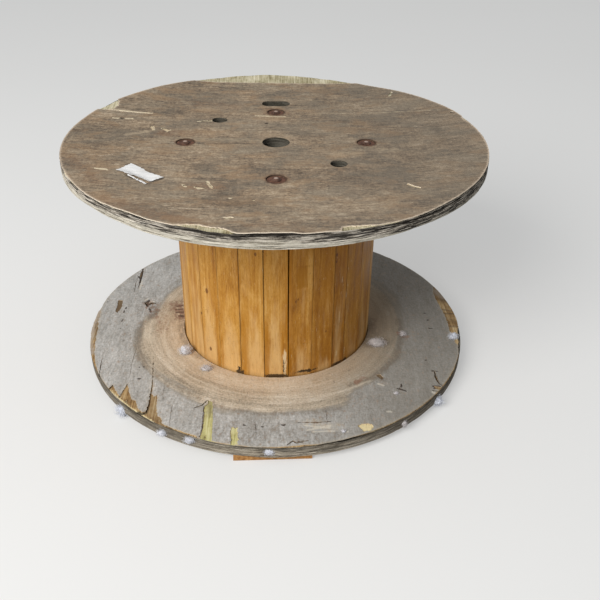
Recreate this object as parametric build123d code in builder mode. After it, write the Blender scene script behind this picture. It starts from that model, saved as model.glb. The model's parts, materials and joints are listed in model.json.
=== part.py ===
"""Wooden cable drum: two plywood flanges on a stave barrel, drawn together by four through-bolts.

Millimetres, +Z up along the drum's axis, origin on the floor under that axis, +Y to the back.
The drum stands on one flange, on a bearer board.
"""

import os
from math import cos, radians, tan

from build123d import *

# Bearer board under the drum
board_width = 217.0
board_length = 1190.0
board_thickness = 22.0
board_yaw = 1.5
board_shift = -27.0
board_edge_wear = 1.5

# Flanges, cut from one plywood; the upper one has cupped upwards outside the barrel, its plies
# have opened at the rim, and its face veneer is torn off behind a straight chord at the back
flange_diameter = 1220.0
flange_thickness = 38.0
flange_cup = 16.0
rim_swell = 6.0
cup_start_margin = 15.0
veneer_thickness = 2.0
torn_veneer_depth = 73.0

# Barrel of upright staves, seated in a groove routed in each flange
barrel_diameter = 610.0
traverse = 590.0
stave_thickness = 19.0
full_stave_count = 26
full_stave_angle = 13.5
closing_stave_bearing = -52.0
stave_gap = 1.0
groove_depth = 10.0
groove_clearance = 1.0

# Holes through the flanges
arbor_hole_diameter = 80.0
drive_hole_diameter = 48.0
left_drive_margin = 1.9
left_drive_bearing = 132.8
right_drive_margin = 23.9
right_drive_bearing = -42.6
cable_hole_width = 92.0
cable_hole_depth = 51.0
cable_hole_margin = 15.5

# Four round-head bolts with square necks, just inside the barrel
bolt_count = 4
bolt_inset = 18.9
bolt_diameter = 12.7
bolt_head_diameter = 27.0
bolt_head_height = 6.5
bolt_tip = 3.0
tip_chamfer = 1.5
shank_clearance = 0.5
neck_clearance = 0.4
washer_diameter = 51.0
washer_thickness = 3.0
washer_edge_clearance = 1.5
head_recess_depth = 6.0
nut_across_flats = 19.0
nut_height = 11.0
nut_corner_slope = 30.0
thread_clearance = 0.1
tip_cover = 2.0

# Heights, from the floor upwards
bottom_flange_base = board_thickness
bottom_flange_top = bottom_flange_base + flange_thickness
top_flange_base = bottom_flange_top + traverse
top_flange_top = top_flange_base + flange_thickness
rim_base = top_flange_base + flange_cup
rim_top = top_flange_top + flange_cup + rim_swell

# Barrel plan
flange_radius = flange_diameter / 2
barrel_radius = barrel_diameter / 2
cup_start_radius = barrel_radius + groove_clearance + cup_start_margin
closing_stave_angle = 360.0 - full_stave_count * full_stave_angle
stave_face_distance = barrel_radius * cos(radians(full_stave_angle / 2))
groove_outer_radius = barrel_radius + groove_clearance
groove_inner_radius = stave_face_distance - stave_thickness - groove_clearance
stave_foot = bottom_flange_top - groove_depth
stave_length = traverse + 2 * groove_depth

# Hole places, measured from the groove's walls
bolt_circle_radius = groove_inner_radius - bolt_inset
left_drive_radius = groove_inner_radius - left_drive_margin - drive_hole_diameter / 2
right_drive_radius = groove_inner_radius - right_drive_margin - drive_hole_diameter / 2
cable_hole_radius = groove_outer_radius + cable_hole_margin + cable_hole_depth / 2

# Bolt stack
bolt_radius = bolt_diameter / 2
shank_hole_radius = bolt_radius + shank_clearance
washer_radius = washer_diameter / 2
recess_radius = washer_radius + washer_edge_clearance
head_washer_base = top_flange_top - head_recess_depth
head_base = head_washer_base + washer_thickness
nut_recess_depth = washer_thickness + nut_height + bolt_tip + tip_cover
nut_washer_base = bottom_flange_base + nut_recess_depth - washer_thickness
nut_base = nut_washer_base - nut_height
bolt_end = nut_base - bolt_tip
bolt_names = ["right", "back", "left", "front"]


def save(piece, name):
    """Label a finished piece and write it as its own STEP file."""
    piece.part.label = name
    export_step(piece.part, f"parts/{name}.step")


def cut_common_holes():
    """Cut the arbor hole and both drive holes through the flange that is being built."""
    Hole(arbor_hole_diameter / 2)
    with PolarLocations(left_drive_radius, 1, start_angle=left_drive_bearing):
        Hole(drive_hole_diameter / 2)
    with PolarLocations(right_drive_radius, 1, start_angle=right_drive_bearing):
        Hole(drive_hole_diameter / 2)


def groove_ring():
    """Draw the ring that the stave ends stand in."""
    Circle(groove_outer_radius)
    Circle(groove_inner_radius, mode=Mode.SUBTRACT)


def make_bottom_flange():
    """Flat disc with the groove on top and deep recesses for the nuts underneath."""
    with BuildPart() as flange:
        with BuildSketch(Plane.XY.offset(bottom_flange_base)):
            Circle(flange_radius)
        extrude(amount=flange_thickness)
        with BuildSketch(Plane.XY.offset(bottom_flange_top)):
            groove_ring()
        extrude(amount=-groove_depth, mode=Mode.SUBTRACT)
        with BuildSketch(Plane.XY.offset(bottom_flange_base)):
            with PolarLocations(bolt_circle_radius, bolt_count):
                Circle(recess_radius)
        extrude(amount=nut_recess_depth, mode=Mode.SUBTRACT)
        with PolarLocations(bolt_circle_radius, bolt_count):
            Hole(shank_hole_radius)
        cut_common_holes()
    return flange


def make_torn_strip():
    """What is gone behind the chord: all that stood above the second ply of the cupped disc."""
    chord = flange_radius - torn_veneer_depth
    with BuildPart() as strip:
        with BuildSketch(Plane.XZ):
            with BuildLine():
                ply_start = (cup_start_radius, top_flange_top - veneer_thickness)
                ply_end = (flange_radius, rim_top - veneer_thickness)
                TangentArc(ply_start, ply_end, tangent=(1, 0))
                Polyline(ply_end, (flange_radius, 2 * rim_top), (cup_start_radius, 2 * rim_top), ply_start)
            make_face()
        revolve(axis=Axis.Z)
        with BuildSketch(Plane.XY.offset(top_flange_base)):
            with Locations((0, chord)):
                Rectangle(flange_diameter, torn_veneer_depth, align=(Align.CENTER, Align.MIN))
        extrude(amount=2 * rim_top, mode=Mode.INTERSECT)
    return strip


def make_top_flange(torn_strip):
    """Disc that is flat over the barrel and cups up to its rim, with shallow recesses on top."""
    with BuildPart() as flange:
        with BuildSketch(Plane.XZ):
            with BuildLine():
                Line((0, top_flange_base), (cup_start_radius, top_flange_base))
                TangentArc(
                    (cup_start_radius, top_flange_base),
                    (flange_radius, rim_base),
                    tangent=(1, 0),
                )
                Line((flange_radius, rim_base), (flange_radius, rim_top))
                TangentArc(
                    (cup_start_radius, top_flange_top),
                    (flange_radius, rim_top),
                    tangent=(1, 0),
                )
                Line((cup_start_radius, top_flange_top), (0, top_flange_top))
                Line((0, top_flange_top), (0, top_flange_base))
            make_face()
        revolve(axis=Axis.Z)
        with BuildSketch(Plane.XY.offset(top_flange_base)):
            groove_ring()
        extrude(amount=groove_depth, mode=Mode.SUBTRACT)
        with Locations((0, 0, top_flange_top)):
            with PolarLocations(bolt_circle_radius, bolt_count):
                CounterBoreHole(shank_hole_radius, recess_radius, head_recess_depth)
        cut_common_holes()
        with BuildSketch(Plane.XY.offset(top_flange_base)):
            with Locations((0, cable_hole_radius)):
                SlotOverall(cable_hole_width, cable_hole_depth)
        extrude(amount=rim_top - top_flange_base, mode=Mode.SUBTRACT)
        add(torn_strip, mode=Mode.SUBTRACT)
    return flange


def make_stave(bearing, angle):
    """One board of the barrel: flat faces, edges bevelled to the drum's axis."""
    slope = tan(radians(angle / 2))
    edge_set_back = stave_gap / 2 / cos(radians(angle / 2))
    outer_x = barrel_radius * cos(radians(angle / 2))
    inner_x = outer_x - stave_thickness
    outer_y = outer_x * slope - edge_set_back
    inner_y = inner_x * slope - edge_set_back
    with BuildPart() as stave:
        with BuildSketch(Plane.XY.offset(stave_foot)):
            with Locations(Rotation(0, 0, bearing)):
                Polygon(
                    (inner_x, -inner_y),
                    (outer_x, -outer_y),
                    (outer_x, outer_y),
                    (inner_x, inner_y),
                    align=None,
                )
        extrude(amount=stave_length)
    return stave


def make_washer(place, base, hole):
    """Flat round washer; the ones under the heads have a square hole for the bolt's neck."""
    with BuildPart() as washer:
        with BuildSketch(Plane.XY.offset(base)):
            with Locations(place):
                Circle(washer_radius)
                if hole == "square":
                    side = bolt_diameter + 2 * neck_clearance
                    Rectangle(side, side, mode=Mode.SUBTRACT)
                else:
                    Circle(shank_hole_radius, mode=Mode.SUBTRACT)
        extrude(amount=washer_thickness)
    return washer


def make_bolt(place):
    """Domed head on a square neck, which fills the washer, and a long round shank."""
    edge = bolt_head_height / 4
    with BuildPart() as bolt:
        with BuildSketch(Plane.XZ):
            with BuildLine():
                Line((0, head_base), (bolt_head_diameter / 2, head_base))
                Line((bolt_head_diameter / 2, head_base), (bolt_head_diameter / 2, head_base + edge))
                dome_end = (0, head_base + bolt_head_height)
                TangentArc(dome_end, (bolt_head_diameter / 2, head_base + edge), tangent=(1, 0))
                Line(dome_end, (0, head_base))
            make_face()
        revolve(axis=Axis.Z)
        with BuildSketch(Plane.XY.offset(head_washer_base)):
            Rectangle(bolt_diameter, bolt_diameter)
        extrude(amount=washer_thickness)
        with BuildSketch(Plane.XY.offset(bolt_end)):
            Circle(bolt_radius)
        extrude(amount=head_washer_base - bolt_end)
        chamfer(bolt.edges().group_by(Axis.Z)[0], tip_chamfer)
    bolt.part.locate(Location((place[0], place[1], 0)))
    return bolt


def make_nut(place):
    """Hexagon nut with its corners turned off at both faces."""
    flat_distance = nut_across_flats / 2
    corner_distance = flat_distance / cos(radians(30))
    corner_drop = (corner_distance - flat_distance) * tan(radians(nut_corner_slope))
    with BuildPart() as nut:
        with BuildSketch(Plane.XY.offset(nut_base)):
            RegularPolygon(corner_distance, 6)
            Circle(bolt_radius + thread_clearance, mode=Mode.SUBTRACT)
        extrude(amount=nut_height)
        with BuildSketch(Plane.XZ):
            Polygon(
                (0, nut_base),
                (flat_distance, nut_base),
                (corner_distance, nut_base + corner_drop),
                (corner_distance, nut_base + nut_height - corner_drop),
                (flat_distance, nut_base + nut_height),
                (0, nut_base + nut_height),
                align=None,
            )
        revolve(axis=Axis.Z, mode=Mode.INTERSECT)
    nut.part.locate(Location((place[0], place[1], 0)))
    return nut


def make_board():
    """Sawn board that the drum stands on, a little askew."""
    with BuildPart() as board:
        with BuildSketch(Plane.XY):
            with Locations((board_shift, 0)):
                Rectangle(board_width, board_length, rotation=board_yaw)
        extrude(amount=board_thickness)
        chamfer(board.edges().filter_by(Axis.Z, reverse=True), board_edge_wear)
    return board


os.makedirs("parts", exist_ok=True)

save(make_board(), "bearer_board")
save(make_bottom_flange(), "bottom_flange")
save(make_top_flange(make_torn_strip().part), "top_flange")

save(make_stave(closing_stave_bearing, closing_stave_angle), "closing_stave")
first_bearing = closing_stave_bearing + (closing_stave_angle + full_stave_angle) / 2
for index in range(full_stave_count):
    save(make_stave(first_bearing + index * full_stave_angle, full_stave_angle), f"stave_{index + 1:02d}")

for location, side in zip(PolarLocations(bolt_circle_radius, bolt_count), bolt_names):
    place = (location.position.X, location.position.Y)
    save(make_bolt(place), f"bolt_{side}")
    save(make_washer(place, head_washer_base, "square"), f"head_washer_{side}")
    save(make_washer(place, nut_washer_base, "round"), f"nut_washer_{side}")
    save(make_nut(place), f"nut_{side}")
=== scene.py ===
"""Looks of a weathered wooden cable drum that stands on one flange, on a board.

Metres, +Z up along the drum's axis, +Y to the back, +X to the right, as in the frame.
Marks on the wood are placed in millimetres from the axis. Bearings are degrees from +X,
anticlockwise as seen from above.
"""

import json
import math
from functools import partial

import bpy
import numpy as np
from mathutils import Matrix, Vector
from mathutils.geometry import delaunay_2d_cdt
from mathutils.kdtree import KDTree


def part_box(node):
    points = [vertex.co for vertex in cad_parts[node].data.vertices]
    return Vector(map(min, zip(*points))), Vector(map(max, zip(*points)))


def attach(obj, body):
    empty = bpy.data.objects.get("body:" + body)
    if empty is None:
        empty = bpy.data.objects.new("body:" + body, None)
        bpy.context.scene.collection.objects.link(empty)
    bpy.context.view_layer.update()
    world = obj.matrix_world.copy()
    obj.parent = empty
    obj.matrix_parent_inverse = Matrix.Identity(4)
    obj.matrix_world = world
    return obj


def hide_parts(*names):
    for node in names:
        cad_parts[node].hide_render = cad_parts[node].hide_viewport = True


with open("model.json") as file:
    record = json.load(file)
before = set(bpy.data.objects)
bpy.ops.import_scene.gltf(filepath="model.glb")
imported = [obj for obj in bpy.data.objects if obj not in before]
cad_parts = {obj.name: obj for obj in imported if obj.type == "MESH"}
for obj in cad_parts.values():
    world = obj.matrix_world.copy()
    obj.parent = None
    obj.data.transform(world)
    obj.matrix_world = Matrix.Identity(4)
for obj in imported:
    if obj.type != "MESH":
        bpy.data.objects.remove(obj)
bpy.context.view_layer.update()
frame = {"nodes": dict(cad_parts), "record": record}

MM = 0.001
mounts = {mount["name"]: mount for mount in frame["record"]["mounts"]}

# Sizes that the frame gives
top_low, top_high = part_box("top_flange")
bottom_low, bottom_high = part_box("bottom_flange")
RIM = min(top_high.x, top_high.y) - 0.6 * MM
FACE = mounts["arbor"]["pos_m"][2]
UNDER = top_low.z
FLOOR_FACE = bottom_high.z
FLOOR_UNDER = bottom_low.z
ARBOR = mounts["arbor"]["dims"]["r_mm"] * MM
RECESS_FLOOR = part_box("head_washer_left")[0].z
NUT_RECESS_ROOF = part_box("nut_washer_left")[1].z
BOLT_PLACES = [
    tuple((low + high)[i] / 2 for i in range(2))
    for low, high in (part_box(f"bolt_{side}") for side in ("right", "back", "left", "front"))
]

# Sizes of the wood that the frame's boxes don't show
BARREL = 305 * MM
GROOVE_OUTER = 306 * MM
GROOVE_INNER = 282.9 * MM
GROOVE_DEPTH = 10 * MM
STAVE_THICKNESS = 19 * MM
STAVE_ANGLE = 13.5
CLOSING_ANGLE = 9.0
CLOSING_BEARING = -52.0
STAVES = 27
STAVE_LOTS_SEED = 17
RECESS = 27 * MM
SHANK_HOLE = 6.85 * MM
CABLE_HOLE_HALF_LENGTH = 46 * MM
CABLE_HOLE_HALF_WIDTH = 25.5 * MM
CABLE_HOLE_RADIUS = 347 * MM
CUP_START = 321 * MM
VENEER = 1.8 * MM
VENEER_PLAY = 0.15 * MM
PLIES = 11

# How fine the meshes are
RIM_STEPS = 960
GRID = 8.5 * MM
WALL_STEP = 0.25 * MM
EDGE_STEP = 3.5 * MM
CRACK_DEPTH = 6 * MM
STAVE_ROWS, STAVE_COLUMNS = 150, 19
# Levels of a plate's wall: four in each ply, of which one is the glue line under it
PLY_PARTS = (0, 0.14, 0.5, 0.86)
PLY_LEVELS = np.array(sorted({(k + part) / PLIES for k in range(PLIES) for part in PLY_PARTS} | {1.0}))
VENEER_LEVELS = np.array([0.0, 0.5, 1.0])


# Noise and shapes in the plane


def polar(radius, bearing):
    """Point at a radius and a bearing in degrees."""
    return radius * math.cos(math.radians(bearing)), radius * math.sin(math.radians(bearing))


def bearing_of(x, y):
    """Bearing in degrees, from -180 to 180."""
    return np.degrees(np.arctan2(y, x))


def apart(bearing, other):
    """How many degrees one bearing lies past another, the short way round."""
    return (bearing - other + 180) % 360 - 180


def bumps(bearing, waves):
    """Sum of soft swells, each given by its bearing, half width in degrees and height."""
    return sum(height * np.exp(-((apart(bearing, centre) / width) ** 2)) for centre, width, height in waves)


def stretch(bearing, centre, width):
    """1 along a stretch of the rim, falling to 0 at its ends."""
    return np.exp(-((apart(bearing, centre) / width) ** 4))


def ring_noise(bearing, low, high, seed, fall=0.5):
    """Noise round the axis, mostly -1 to 1, of low to high waves in a turn."""
    rng = np.random.default_rng(seed)
    angle = np.radians(bearing)
    total = np.zeros_like(angle)
    power = 0.0
    for waves in range(low, high):
        size = waves**-fall
        total += size * np.sin(waves * angle + rng.uniform(0, math.tau))
        power += size * size
    return total / math.sqrt(2 * power)


def plane_noise(x, y, length_x, length_y, seed, count=24):
    """Noise over a plane, mostly -1 to 1, with features of these lengths."""
    rng = np.random.default_rng(seed)
    total = np.zeros_like(x)
    for _ in range(count):
        turn = rng.uniform(0, math.pi)
        pace = math.tau * rng.uniform(0.5, 1.5)
        along = x * math.cos(turn) / length_x + y * math.sin(turn) / length_y
        total += np.sin(pace * along + rng.uniform(0, math.tau))
    return total / math.sqrt(count)


def circle(centre, radius, steps):
    """Round outline."""
    turns = np.linspace(0, math.tau, steps, endpoint=False)
    return np.column_stack([centre[0] + radius * np.cos(turns), centre[1] + radius * np.sin(turns)])


def torn(corners, seed, step=3.0, jag=0.8, closed=True):
    """Line through corners in millimetres, with sides as uneven as torn wood, in metres."""
    rng = np.random.default_rng(seed)
    corners = np.reshape(corners, (-1, 2)).astype(float)
    ends = np.roll(corners, -1, axis=0) if closed else corners[1:]
    line = []
    for start, end in zip(corners, ends):
        count = max(2, int(np.hypot(*(end - start)) / step))
        piece = start + np.arange(count)[:, None] / count * (end - start)
        piece[1:] += rng.normal(0, jag, (count - 1, 2))
        line.append(piece)
    if not closed:
        line.append(corners[-1:])
    return np.vstack(line) * MM


def torn_chips(rows):
    """Outlines of chips, each given by its seed, step and unevenness, then its corners."""
    return [torn(corners, seed, step, jag) for seed, step, jag, *corners in rows]


def sideways(line):
    """Direction across a line at each of its points."""
    run = np.gradient(line, axis=0)
    return np.column_stack([-run[:, 1], run[:, 0]]) / np.hypot(run[:, 0], run[:, 1])[:, None]


def slit(line, width, seed):
    """Narrow crack along a line in millimetres: widest in the middle, closed at both ends."""
    rng = np.random.default_rng(seed)
    line = torn(line, seed, step=6.0, jag=0.5, closed=False)
    share = np.linspace(0, 1, len(line))
    half = width * MM / 2 * np.sin(math.pi * np.clip(share, 0.04, 0.96)) ** 0.5
    half *= rng.uniform(0.6, 1.2, len(line))
    out = sideways(line) * half[:, None]
    return np.vstack([line + out, (line - out)[::-1]])


def slits(cracks, seed):
    """Outlines of cracks, each given by its width, then its points."""
    return [slit(line, width, seed + index) for index, (width, *line) in enumerate(cracks)]


def crack_shade_strokes(cracks):
    """Strokes of painted shade that darken the wood under cracks."""
    return [(width, 3, 1.0, *line) for width, *line in cracks]


def inside(x, y, ring):
    """Which points lie inside a closed outline."""
    result = np.zeros(x.shape, bool)
    for (ax, ay), (bx, by) in zip(ring, np.roll(ring, -1, axis=0)):
        if ay != by:
            crosses = (ay > y) != (by > y)
            result ^= crosses & (x < (bx - ax) * (y - ay) / (by - ay) + ax)
    return result


def within(points, outline, holes):
    """Which points lie inside an outline and outside its holes."""
    keep = inside(*points.T, outline)
    for hole in holes:
        keep &= ~inside(*points.T, hole)
    return keep


def nearest(points, places):
    """Distance of each point from the nearest of some places in the plane."""
    tree = KDTree(len(places))
    for index, (x, y) in enumerate(places):
        tree.insert((x, y, 0), index)
    tree.balance()
    return np.array([tree.find((x, y, 0))[2] for x, y in points])


def line_distance(x, y, line):
    """Distance of each point from a line."""
    best = np.full(x.shape, 1e9)
    for (ax, ay), (bx, by) in zip(line[:-1], line[1:]):
        dx, dy = bx - ax, by - ay
        share = np.clip(((x - ax) * dx + (y - ay) * dy) / (dx * dx + dy * dy), 0, 1)
        best = np.minimum(best, np.hypot(x - ax - share * dx, y - ay - share * dy))
    return best


def stroke_mask(x, y, strokes):
    """Strength of the nearest stroke; each is half width, soft edge and strength, then its points."""
    mask = np.zeros_like(x)
    for half, soft, strength, *line in strokes:
        edge = 1 - (line_distance(x / MM, y / MM, np.reshape(line, (-1, 2))) - half) / soft
        mask = np.maximum(mask, strength * np.clip(edge, 0, 1))
    return mask


def beside(strokes):
    """Points along and beside strokes, so that a mesh has corners enough to carry them."""
    points = []
    for half, soft, _, *line in strokes:
        path = torn(line, 0, step=4.0, jag=0.0, closed=False)
        points += [path + sideways(path) * offset * MM for offset in (-half - soft, 0, half + soft)]
    return np.vstack(points)


# Meshes


def make_piece(name, vertices, faces, replaced=(), sharp=40):
    """A mesh object that rides on the drum's one body."""
    mesh = bpy.data.meshes.new(name)
    mesh.from_pydata(np.asarray(vertices).tolist(), [], faces)
    mesh.validate()
    mesh.polygons.foreach_set("use_smooth", [True] * len(mesh.polygons))
    mesh.set_sharp_from_angle(angle=math.radians(sharp))
    piece = bpy.data.objects.new(name, mesh)
    bpy.context.scene.collection.objects.link(piece)
    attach(piece, "root")
    if replaced:
        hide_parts(*replaced)
    return piece


def coordinates(piece):
    """The x, y and z of a piece's corners."""
    places = np.empty(3 * len(piece.data.vertices))
    piece.data.vertices.foreach_get("co", places)
    return places.reshape(-1, 3).T


def paint(piece, **masks):
    """Keep numbers for each corner, which the material reads by name."""
    for name, values in masks.items():
        layer = piece.data.attributes.new(name, "FLOAT", "POINT")
        layer.data.foreach_set("value", np.asarray(values, np.float32))


def grid_points(outline, holes, rings, spacing, seed):
    """Uneven grid inside an outline, clear of its holes and lines."""
    rng = np.random.default_rng(seed)
    low, high = outline.min(0), outline.max(0)
    points = []
    for index, y in enumerate(np.arange(low[1], high[1], spacing * math.sqrt(0.75))):
        x = np.arange(low[0] + (index % 2) * spacing / 2, high[0], spacing)
        points.append(np.column_stack([x, np.full_like(x, y)]))
    points = np.vstack(points)
    points += rng.uniform(-0.15, 0.15, points.shape) * spacing
    points = points[within(points, outline, holes)]
    return points[nearest(points, np.vstack(rings)) > 0.35 * spacing]


def plate(name, outline, holes, lines, extra, under, over, levels, wall, replaced=(), spacing=GRID):
    """Closed sheet of wood between two heights, with walls in levels at its rim and holes.

    under and over give heights, wall gives how far each level of an edge stands out and up.
    """
    rings = [outline, *holes, *lines]
    edges = []
    for ring in rings:
        start, count = len(edges), len(ring)
        edges += [(start + i, start + (i + 1) % count) for i in range(count)]
    points = np.vstack([*rings, grid_points(outline, holes, rings, spacing, len(rings)), extra])
    made = delaunay_2d_cdt([Vector(p) for p in points], edges, [], 0, 1e-6, False)
    flat = np.array([tuple(p) for p in made[0]])
    faces = np.array(made[2])
    faces = faces[within(flat[faces].mean(axis=1), outline, holes)]
    used, faces = np.unique(faces, return_inverse=True)
    faces = faces.reshape(-1, 3)
    flat = flat[used]
    a, b, c = (flat[faces[:, i]] for i in range(3))
    turned = (b - a)[:, 0] * (c - a)[:, 1] - (b - a)[:, 1] * (c - a)[:, 0] < 0
    faces[turned] = faces[turned][:, ::-1]
    count = len(flat)
    starts = faces.ravel()
    ends = np.roll(faces, -1, axis=1).ravel()
    open_edge = ~np.isin(starts * count + ends, ends * count + starts)
    starts, ends = starts[open_edge], ends[open_edge]
    border, place_in_border = np.unique(np.concatenate([starts, ends]), return_inverse=True)
    start_index, end_index = np.split(place_in_border, 2)
    run = flat[ends] - flat[starts]
    out = np.zeros((len(border), 2))
    for index in (start_index, end_index):
        np.add.at(out, index, np.column_stack([run[:, 1], -run[:, 0]]))
    out /= np.maximum(np.hypot(out[:, 0], out[:, 1]), 1e-9)[:, None]
    x, y = flat.T
    low, high = under(x, y), over(x, y)
    stand_out, stand_up, sunken = wall(x[border], y[border], levels)
    wall_x = x[border] + out[:, 0] * stand_out
    wall_y = y[border] + out[:, 1] * stand_out
    wall_z = low[border] + levels[:, None] * (high - low)[border] + stand_up
    top = np.column_stack([x, y, high])
    bottom = np.column_stack([x, y, low])
    for side, row in ((top, -1), (bottom, 0)):
        side[border, :2] = np.column_stack([wall_x[row], wall_y[row]])
    between = np.dstack([wall_x[1:-1], wall_y[1:-1], wall_z[1:-1]]).reshape(-1, 3)
    vertices = np.vstack([top, bottom, between])
    width = len(border)
    rungs = [2 * count + row * width + np.arange(width) for row in range(len(levels) - 2)]
    ladder = [border + count, *rungs, border]
    quads = []
    for lower, upper in zip(ladder[:-1], ladder[1:]):
        corners = [lower[start_index], lower[end_index], upper[end_index], upper[start_index]]
        quads += np.column_stack(corners).tolist()
    all_faces = faces.tolist() + (faces[:, ::-1] + count).tolist() + quads
    piece = make_piece(name, vertices, all_faces, replaced)
    sunk = np.zeros(len(vertices))
    for place, row in zip(ladder, sunken):
        sunk[place] = row
    level = np.concatenate([np.ones(count), np.zeros(count), np.repeat(levels[1:-1], width)])
    paint(piece, level=level, sunk=sunk)
    return piece


def ply_wall(x, y, levels, seed, rough, seams, insets):
    """Shape a plywood edge: uneven plies with grooves between them.

    seams are glue lines that have opened: ply below, bearing, half width, gap and depth.
    insets are stretches where plies have broken back: first and last ply, bearing, half width,
    depth, and how much painted shade the break adds, from 0 to 1.
    """
    bearing = bearing_of(x, y)
    at_rim = np.hypot(x, y) > 0.9 * RIM
    reach = np.where(at_rim, 1, 0.35)
    stand_out, stand_up, sunk = np.zeros((3, len(levels), len(x)))
    for row, level in enumerate(levels):
        ply = level * PLIES
        layer = int(ply)
        line = int(round(ply))
        opened = ring_noise(bearing, 5, 70, seed + 50 + line)
        if abs(ply - line) < 0.01:
            depth = 0.7 + 4.5 * rough * np.clip(opened - 0.1, 0, 1)
        else:
            broken = ring_noise(bearing, 3, 60, seed + layer)
            fibres = ring_noise(bearing, 120, 400, seed + 20 + layer, 0.2)
            depth = rough * (1.1 * np.abs(broken) + 0.45 * np.abs(fibres))
            depth += 0.25 * (abs(ply - layer - 0.5) > 0.2)
            if abs(ply - line) < 0.2 and 0 < line < PLIES:
                parted = 1.6 * rough * np.clip(opened - 0.3, 0, 1) * MM
                stand_up[row] = np.where(at_rim, math.copysign(1, ply - line) * parted, 0)
        if 0 < row < len(levels) - 1:
            drift = ring_noise(bearing, 2, 30, seed + 80 + int(ply + 0.3))
            stand_up[row] += np.where(at_rim, 0.5 * drift * MM, 0)
        for seam, centre, width, gap, deep in seams:
            uneven = np.clip(0.75 + 0.7 * ring_noise(bearing, 20, 140, seed + seam), 0.1, 1.4)
            near = stretch(bearing, centre, width) * uneven
            past = ply - seam
            if abs(past) < 0.01:
                depth = np.maximum(depth, deep * near)
            elif abs(past) < 0.2:
                stand_up[row] += np.where(at_rim, math.copysign(gap / 2, past) * near * MM, 0)
        # sunk marks depth, which the body's finish darkens as painted shade in the grooves
        sunk[row] = depth * reach
        for first, last, centre, width, deep, shade_share in insets:
            if first <= ply <= last:
                broken_back = deep * stretch(bearing, centre, width)
                depth = depth + broken_back
                sunk[row] += shade_share * broken_back
        stand_out[row] = -depth * MM * reach
    return stand_out, stand_up, sunk


def thin_wall(x, y, levels):
    """Edge of a thin veneer, a little frayed."""
    frayed = ring_noise(bearing_of(x, y), 100, 400, 5, 0.2)
    stand_out = np.outer(np.ones(len(levels)), -0.3 * MM * np.abs(frayed))
    return stand_out, np.zeros_like(stand_out), np.zeros_like(stand_out)


def in_recess(x, y):
    """Which points lie in a recess for a bolt's washer."""
    near = np.zeros(x.shape, bool)
    for px, py in BOLT_PLACES:
        near |= np.hypot(x - px, y - py) < RECESS + 0.1 * MM
    return near


def in_groove(x, y):
    radius = np.hypot(x, y)
    return (radius > GROOVE_INNER - 0.1 * MM) & (radius < GROOVE_OUTER + 0.1 * MM)


def rim_outline(torn_edge, seed, jag, chord=None):
    """Outline of a face veneer, broken back from the rim as the torn edge says."""
    bearing = np.linspace(-180, 180, RIM_STEPS, endpoint=False)
    depth = np.interp(bearing, *zip(*torn_edge))
    roughness = jag * np.clip(depth / 8, 0.25, 1.6)
    depth = depth + roughness * ring_noise(bearing, 60, 420, seed, 0.2)
    radius = RIM / MM - np.clip(depth, 0, None)
    if chord:
        behind = np.abs(bearing - 90) < 60
        edge = chord + 1.6 * ring_noise(bearing, 20, 200, seed + 1)
        radius = np.where(behind, np.minimum(radius, edge / np.sin(np.radians(bearing))), radius)
    turn = np.radians(bearing)
    return np.column_stack([radius * np.cos(turn), radius * np.sin(turn)]) * MM


def make_veneer(flange, outline, rim, holes, face, marks):
    """Face veneer of a flange, its corners and the masks of its marks."""
    inner = rim * (1 - EDGE_STEP / np.hypot(*rim.T))[:, None]
    extra = np.vstack([inner[::2], beside([row for rows in marks.values() for row in rows])])
    veneer = plate(
        f"{flange}_face_veneer", outline, holes, [], extra,
        lambda x, y: face(x, y) - VENEER, face, VENEER_LEVELS, thin_wall,
    )
    x, y, _ = coordinates(veneer)
    paint(veneer, margin=np.clip(1.35 - nearest(zip(x, y), outline) / (4 * MM), 0, 1))
    return veneer, x, y, {name: stroke_mask(x, y, rows) for name, rows in marks.items()}


drive_holes = [
    (mounts[name]["pos_m"][:2], mounts[name]["dims"]["r_mm"] * MM)
    for name in ("left_drive_hole", "right_drive_hole")
]
through_holes = [circle((0, 0), ARBOR, 96)] + [circle(place, radius, 64) for place, radius in drive_holes]
shank_holes = [circle(place, SHANK_HOLE, 20) for place in BOLT_PLACES]
cable_hole = circle((0, CABLE_HOLE_RADIUS), CABLE_HOLE_HALF_WIDTH, 96)
cable_hole[:, 0] += np.sign(cable_hole[:, 0]) * (CABLE_HOLE_HALF_LENGTH - CABLE_HOLE_HALF_WIDTH)
recesses = [circle(place, RECESS, 48) for place in BOLT_PLACES]
recess_lines = [
    circle(place, radius, 48) for place in BOLT_PLACES for radius in (RECESS, RECESS + WALL_STEP)
]
groove_lines = [
    circle((0, 0), radius, 240)
    for radius in (GROOVE_INNER - WALL_STEP, GROOVE_INNER, GROOVE_OUTER, GROOVE_OUTER + WALL_STEP)
]
rim_line = circle((0, 0), RIM, RIM_STEPS)


# The upper flange: a plywood body under a torn, weathered face veneer

# How far the rim stands above the flat middle, swell by swell, in millimetres
RIM_SWELLS = [
    (-145, 18, -4), (-126, 4, 3), (-100, 6, -1.5), (-90, 7, 4.6), (-59, 6, -4), (-40, 8, 1),
    (-88.5, 2.2, 2.2), (-84, 1.8, -1.4), (-94.5, 1.6, 1), (-79, 1.5, 0.9), (-132, 2, 1.2), (-119, 2, -1),
    (-18, 10, -2.5), (14, 20, 4.4), (57, 10, -6), (72, 9, -2.5), (95, 12, 3.2), (131, 15, 4.4),
    (151, 9, 1.5),
]
RIM_LIFT = 17.0
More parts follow.
